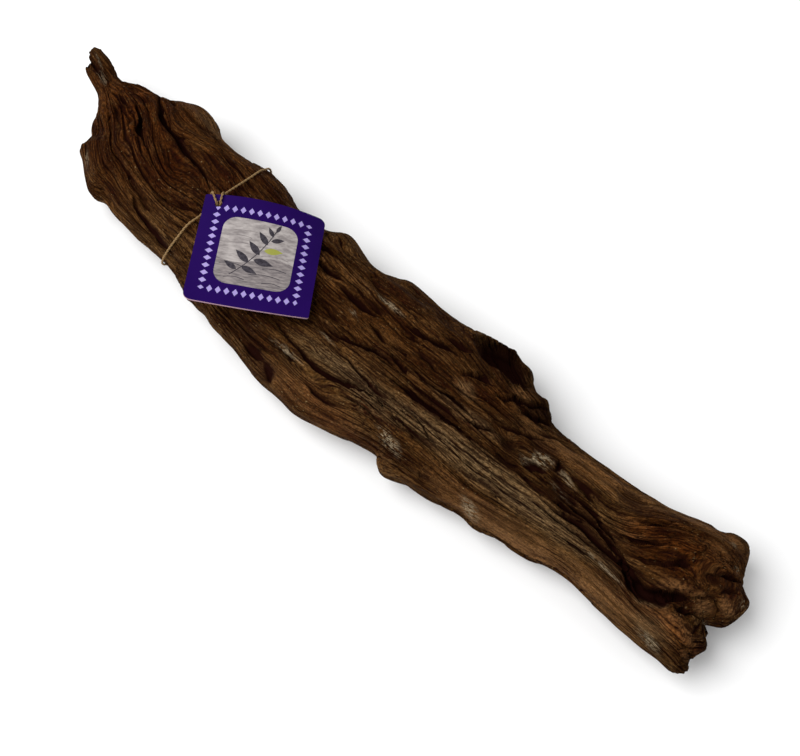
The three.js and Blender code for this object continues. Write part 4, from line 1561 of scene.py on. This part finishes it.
def rounded_square(side: float, radii: tuple, steps: int) -> np.ndarray:
    """Draws a square with rounded corners about the origin.

    Args:
        side: Length of its sides.
        radii: Radius of each corner, from the lower left one on round.
        steps: Points on each corner.

    Returns:
        Its outline.
    """
    points = []
    for k, ((sx, sy), radius) in enumerate(zip(((-1, -1), (1, -1), (1, 1), (-1, 1)), radii)):
        reach = side / 2 - radius
        for t in np.linspace(0, math.pi / 2, steps):
            angle = math.pi + k * math.pi / 2 + t
            x, y = sx * reach + radius * math.cos(angle), sy * reach + radius * math.sin(angle)
            points.append((x, y))
    return np.array(points)


def stem(start: tuple, middle: tuple, end: tuple, width: float) -> np.ndarray:
    """Draws a curved stalk of even width.

    Args:
        start: Where it starts.
        middle: Where it bends towards.
        end: Where it ends.
        width: Its width.

    Returns:
        Its outline.
    """
    t = np.linspace(0, 1, 12)[:, None]
    a, b, c = (np.array(place) for place in (start, middle, end))
    path = (1 - t) ** 2 * a + 2 * t * (1 - t) * b + t**2 * c
    along = np.gradient(path, axis=0)
    side = np.column_stack([-along[:, 1], along[:, 0]])
    side *= width / 2 / np.linalg.norm(side, axis=1)[:, None]
    return np.vstack([path + side, (path - side)[::-1]])


def leaf(base: tuple, angle: float, length: float) -> np.ndarray:
    """Draws a pointed leaf.

    Args:
        base: Where it grows from.
        angle: Its direction in degrees.
        length: Its length.

    Returns:
        Its outline.
    """
    t = np.linspace(0, 1, 9)
    half = 0.19 * length * np.sin(math.pi * t**0.8)
    turn = math.radians(angle)
    ahead = np.array([math.cos(turn), math.sin(turn)])
    side = np.array([-math.sin(turn), math.cos(turn)])
    line = np.array(base) + np.outer(t * length, ahead)
    return np.vstack([line + np.outer(half, side), (line - np.outer(half, side))[-2:0:-1]])


def spaced(loop: np.ndarray, most: float) -> np.ndarray:
    """Adds points to a closed outline.

    Args:
        loop: The outline.
        most: How long a stretch of it may stay.

    Returns:
        The outline with the points added.
    """
    out = []
    for a, b in zip(loop, np.roll(loop, -1, 0)):
        parts = max(1, math.ceil(np.linalg.norm(b - a) / most))
        out += [a + (b - a) * k / parts for k in range(parts)]
    return np.array(out)


def boundary(triangles: np.ndarray) -> list[tuple[int, int]]:
    """Edges that belong to one triangle only, in that triangle's direction."""
    edges = {(int(t[i]), int(t[(i + 1) % 3])) for t in triangles for i in range(3)}
    return [(a, b) for a, b in sorted(edges) if (b, a) not in edges]


@dataclass(frozen=True)
class TwineFinish:
    """Jute twine, twisted from two plies: dull golden fibre with darker creases.

    Its fibres are about 0.05 mm thick, and are drawn about 0.5 mm wide so that they show.
    """

    colour: str = "#957648"
    crease_colour: str = "#624a2a"
    roughness: float = 0.85
    fibre_mm: float = 1 / 1.8
    fibre_height_mm: float = 0.2

    def material(self) -> bpy.types.Material:
        """Builds the material.

        Returns:
            The material.
        """
        material, add = new_material("jute_twine_twisted")
        here = add("ShaderNodeTexCoord").outputs["Object"]
        strands = {"Vector": here, "Scale": 1 / (self.fibre_mm * MM), "Detail": 3.0}
        fibre = add("ShaderNodeTexNoise", strands).outputs["Fac"]
        tints = {"Factor": fibre, 6: linear(self.crease_colour), 7: linear(self.colour)}
        bump = {"Strength": 0.5, "Distance": self.fibre_height_mm * MM, "Height": fibre}
        shader = add(
            "ShaderNodeBsdfPrincipled",
            {
                "Base Color": add("ShaderNodeMix", tints, data_type="RGBA").outputs[2],
                "Roughness": self.roughness,
                "Normal": add("ShaderNodeBump", bump).outputs["Normal"],
            },
        )
        add("ShaderNodeOutputMaterial", {"Surface": shader.outputs["BSDF"]})
        return material


@dataclass
class TwineLoop:
    """A loop of two-ply twine, held by the log all the way, whose ends meet in a knot."""

    ply_radius: float = 0.42
    lay_radius: float = 0.3
    pitch: float = 5.4
    step: float = 0.35
    ply_sides: int = 8
    finish: TwineFinish = field(default_factory=TwineFinish)
    route: tuple = (
        (-98.3, 0.4, 56.6), (-98, 0.5, 58.3), (-97.7, 0.5, 59.8), (-97.8, 1, 60.8),
        (-98.6, 2.1, 61.3), (-99.5, 3.5, 61.3), (-100.7, 5.1, 61.4), (-101.8, 6.7, 60.8),
        (-102.4, 7.5, 58.9), (-103.4, 8.8, 55.6), (-104.6, 11.2, 53.9), (-105.2, 18, 52),
        (-105.9, 30, 49), (-106.8, 40, 46.2), (-107.9, 44.2, 42.4), (-109.1, 47.9, 38.7),
        (-110.6, 50.3, 33.6), (-112.8, 51.9, 26.6), (-114.4, 51.2, 21.3), (-116.2, 48.2, 15.6),
        (-117.2, 44, 12.3), (-118.4, 33, 8.4), (-119, 8, 6.2), (-118.9, -10, 6.7),
        (-117.7, -29.6, 10.7), (-116.3, -34.6, 15.2), (-114.2, -37.9, 22), (-112.2, -38.1, 28.5),
        (-109.5, -34.4, 37.2), (-106.4, -26.7, 47.2), (-104.5, -19.9, 53.4), (-103.1, -9.8, 55.1),
        (-106.8, -1.6, 54.8), (-108, 1.4, 56), (-108.2, 3.1, 58.1), (-107, 3.1, 60.2),
        (-104.9, 2, 60.9), (-103, 1, 60.9), (-101, 0, 61), (-99.7, -0.5, 60.6),
        (-99.3, -0.8, 59.6), (-99.6, -0.7, 58.2), (-99.9, -0.8, 56.5),
    )
    knot_centre: tuple = (-99.1, -0.2, 56.5)
    knot_half_size: tuple = (1.7, 1.3, 0.5)

    def knot(self) -> np.ndarray:
        """Lays out a flat overhand knot below the card's hole.

        Returns:
            Points of its closed path.
        """
        t = np.linspace(0, 2 * math.pi, 60)
        x, y = (np.sin(t) + 2 * np.sin(2 * t)) / 3, (np.cos(t) - 2 * np.cos(2 * t)) / 3
        shape = np.column_stack([x, y, -np.sin(3 * t)])
        return np.array(self.knot_centre) + shape * np.array(self.knot_half_size)

    def twist_tree(self) -> bpy.types.NodeTree:
        """Geometry nodes that lay two plies round each curve.

        Returns:
            The tree, with its sizes in metres as named inputs.
        """
        tree = bpy.data.node_groups.new("two_ply_twist", "GeometryNodeTree")
        add = partial(add_node, tree)
        inputs = {
            "Geometry": "Geometry",
            **dict.fromkeys(("Ply Radius", "Lay Radius", "Pitch", "Step"), "Float"),
            "Sides": "Int",
            "Material": "Material",
        }
        for name, kind in inputs.items():
            tree.interface.new_socket(name, in_out="INPUT", socket_type=f"NodeSocket{kind}")
        tree.interface.new_socket("Geometry", in_out="OUTPUT", socket_type="NodeSocketGeometry")
        given = add("NodeGroupInput").outputs
        steps = {"Curve": given["Geometry"], "Length": given["Step"]}
        fine = add("GeometryNodeResampleCurve", steps, mode="LENGTH").outputs["Curve"]
        length = add("GeometryNodeSplineParameter").outputs["Length"]
        pitches = {0: length, 1: given["Pitch"]}
        turns = add("ShaderNodeMath", pitches, operation="DIVIDE").outputs[0]
        normal = add("GeometryNodeInputNormal").outputs["Normal"]
        tangent = add("GeometryNodeInputTangent").outputs["Tangent"]
        circle = {"Resolution": given["Sides"], "Radius": given["Ply Radius"]}
        profile = add("GeometryNodeCurvePrimitiveCircle", circle).outputs["Curve"]
        joined = add("GeometryNodeJoinGeometry")
        for phase in (0.0, math.pi):
            turned = {0: turns, 1: 2 * math.pi, 2: phase}
            angle = add("ShaderNodeMath", turned, operation="MULTIPLY_ADD").outputs[0]
            about = {"Vector": normal, "Axis": tangent, "Angle": angle}
            lay = {0: add("ShaderNodeVectorRotate", about).outputs[0], "Scale": given["Lay Radius"]}
            offset = add("ShaderNodeVectorMath", lay, operation="SCALE").outputs[0]
            ply = add("GeometryNodeSetPosition", {"Geometry": fine, "Offset": offset}).outputs[0]
            sweep = {"Curve": ply, "Profile Curve": profile, "Fill Caps": True}
            tube = add("GeometryNodeCurveToMesh", sweep).outputs[0]
            tree.links.new(tube, joined.inputs[0])
        real = add("GeometryNodeRealizeInstances", {0: joined.outputs[0]}).outputs[0]
        dressed = {"Geometry": real, "Material": given["Material"]}
        add("NodeGroupOutput", {0: add("GeometryNodeSetMaterial", dressed).outputs[0]})
        return tree

    def build(self) -> bpy.types.Object:
        """Twists the twine along its route and round its knot.

        Returns:
            The finished object.
        """
        curve = bpy.data.curves.new("twine_path", "CURVE")
        curve.dimensions = "3D"
        for path in (rounded_path(self.route, 8), self.knot()):
            spline = curve.splines.new("POLY")
            spline.points.add(len(path) - 1)
            flat = np.column_stack([placed(path), np.ones(len(path))]).ravel()
            spline.points.foreach_set("co", flat)
        source = bpy.data.objects.new("twine_path", curve)
        bpy.context.scene.collection.objects.link(source)
        tree = self.twist_tree()
        sizes = {
            "Ply Radius": self.ply_radius * MM,
            "Lay Radius": self.lay_radius * MM,
            "Pitch": self.pitch * MM,
            "Step": self.step * MM,
            "Sides": self.ply_sides,
            "Material": self.finish.material(),
        }
        piece = baked(source, tree, sizes, "twine_loop")
        bpy.data.objects.remove(source)
        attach(piece, BODY)
        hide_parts("tag_string")
        LOG.info("twine loop: %d faces", len(piece.data.polygons))
        return piece


def baked(
    source: bpy.types.Object, tree: bpy.types.NodeTree, values: dict, name: str
) -> bpy.types.Object:
    """Runs a geometry-nodes tree on an object and keeps the result as a plain mesh.

    Args:
        source: The object to start from; its modifier is removed again.
        tree: The node tree.
        values: The value of each named input.
        name: Name of the new object.

    Returns:
        The new object.
    """
    modifier = source.modifiers.new("build", "NODES")
    modifier.node_group = tree
    for item in tree.interface.items_tree:
        if item.item_type == "SOCKET" and item.in_out == "INPUT" and item.name in values:
            modifier[item.identifier] = values[item.name]
    mesh = evaluated_mesh(source)
    mesh.name = name
    mesh.shade_smooth()
    source.modifiers.remove(modifier)
    piece = bpy.data.objects.new(name, mesh)
    bpy.context.scene.collection.objects.link(piece)
    return piece


@dataclass
class Studio:
    """A white floor, soft light from above and a camera at the picture's angle."""

    eye: tuple = (0.29395, -0.26065, 0.6752)
    target: tuple = (0.04695, -0.00042, 0.028)
    lens: float = 58.5
    floor_size: float = 6.0
    floor_colour: str = "#f4f4f4"
    surround: float = 0.6
    lamp_place: tuple = (-0.9, -1.1, 2.0)
    lamp_size: float = 2.4
    lamp_watts: float = 68.0

    def build_camera(self) -> None:
        """Makes the camera and sets it."""
        data = bpy.data.cameras.new("camera")
        data.lens = self.lens
        data.sensor_width = 36.0
        data.clip_start = 0.01
        camera = bpy.data.objects.new("camera", data)
        camera.location = self.eye
        direction = Vector(self.target) - Vector(self.eye)
        camera.rotation_euler = direction.to_track_quat("-Z", "Y").to_euler()
        bpy.context.scene.collection.objects.link(camera)
        bpy.context.scene.camera = camera

    def build_floor(self) -> None:
        """Makes the plain floor."""
        half = self.floor_size / 2
        corners = np.array([(-half, -half, 0), (half, -half, 0), (half, half, 0), (-half, half, 0)])
        material = bpy.data.materials.new("floor_paper_white")
        material.use_nodes = True
        shader = material.node_tree.nodes["Principled BSDF"]
        shader.inputs["Base Color"].default_value = linear(self.floor_colour)
        shader.inputs["Roughness"].default_value = 0.9
        floor = mesh_piece("floor", corners, [(0, 1, 2, 3)], [material])

    def build_lights(self) -> None:
        """Makes the even surrounding light and one broad soft lamp."""
        world = bpy.data.worlds.new("surround")
        world.use_nodes = True
        background = world.node_tree.nodes["Background"]
        background.inputs["Color"].default_value = linear("#ffffff")
        background.inputs["Strength"].default_value = self.surround
        bpy.context.scene.world = world
        data = bpy.data.lights.new("soft_lamp", "AREA")
        data.shape = "DISK"
        data.size = self.lamp_size
        data.energy = self.lamp_watts
        lamp = bpy.data.objects.new("soft_lamp", data)
        lamp.location = self.lamp_place
        lamp.rotation_euler = (-lamp.location).to_track_quat("-Z", "Y").to_euler()
        bpy.context.scene.collection.objects.link(lamp)
        bpy.context.scene.view_settings.view_transform = "Standard"


def main() -> None:
    """Builds every piece in order."""
    logging.basicConfig(level=logging.INFO, format="%(name)s: %(message)s")
    studio = Studio()
    studio.build_camera()
    studio.build_floor()
    studio.build_lights()
    tag = HangTag()
    LogSkin().build(tag)
    tag.build()
    TwineLoop().build()


if __name__ == "__main__":
    main()
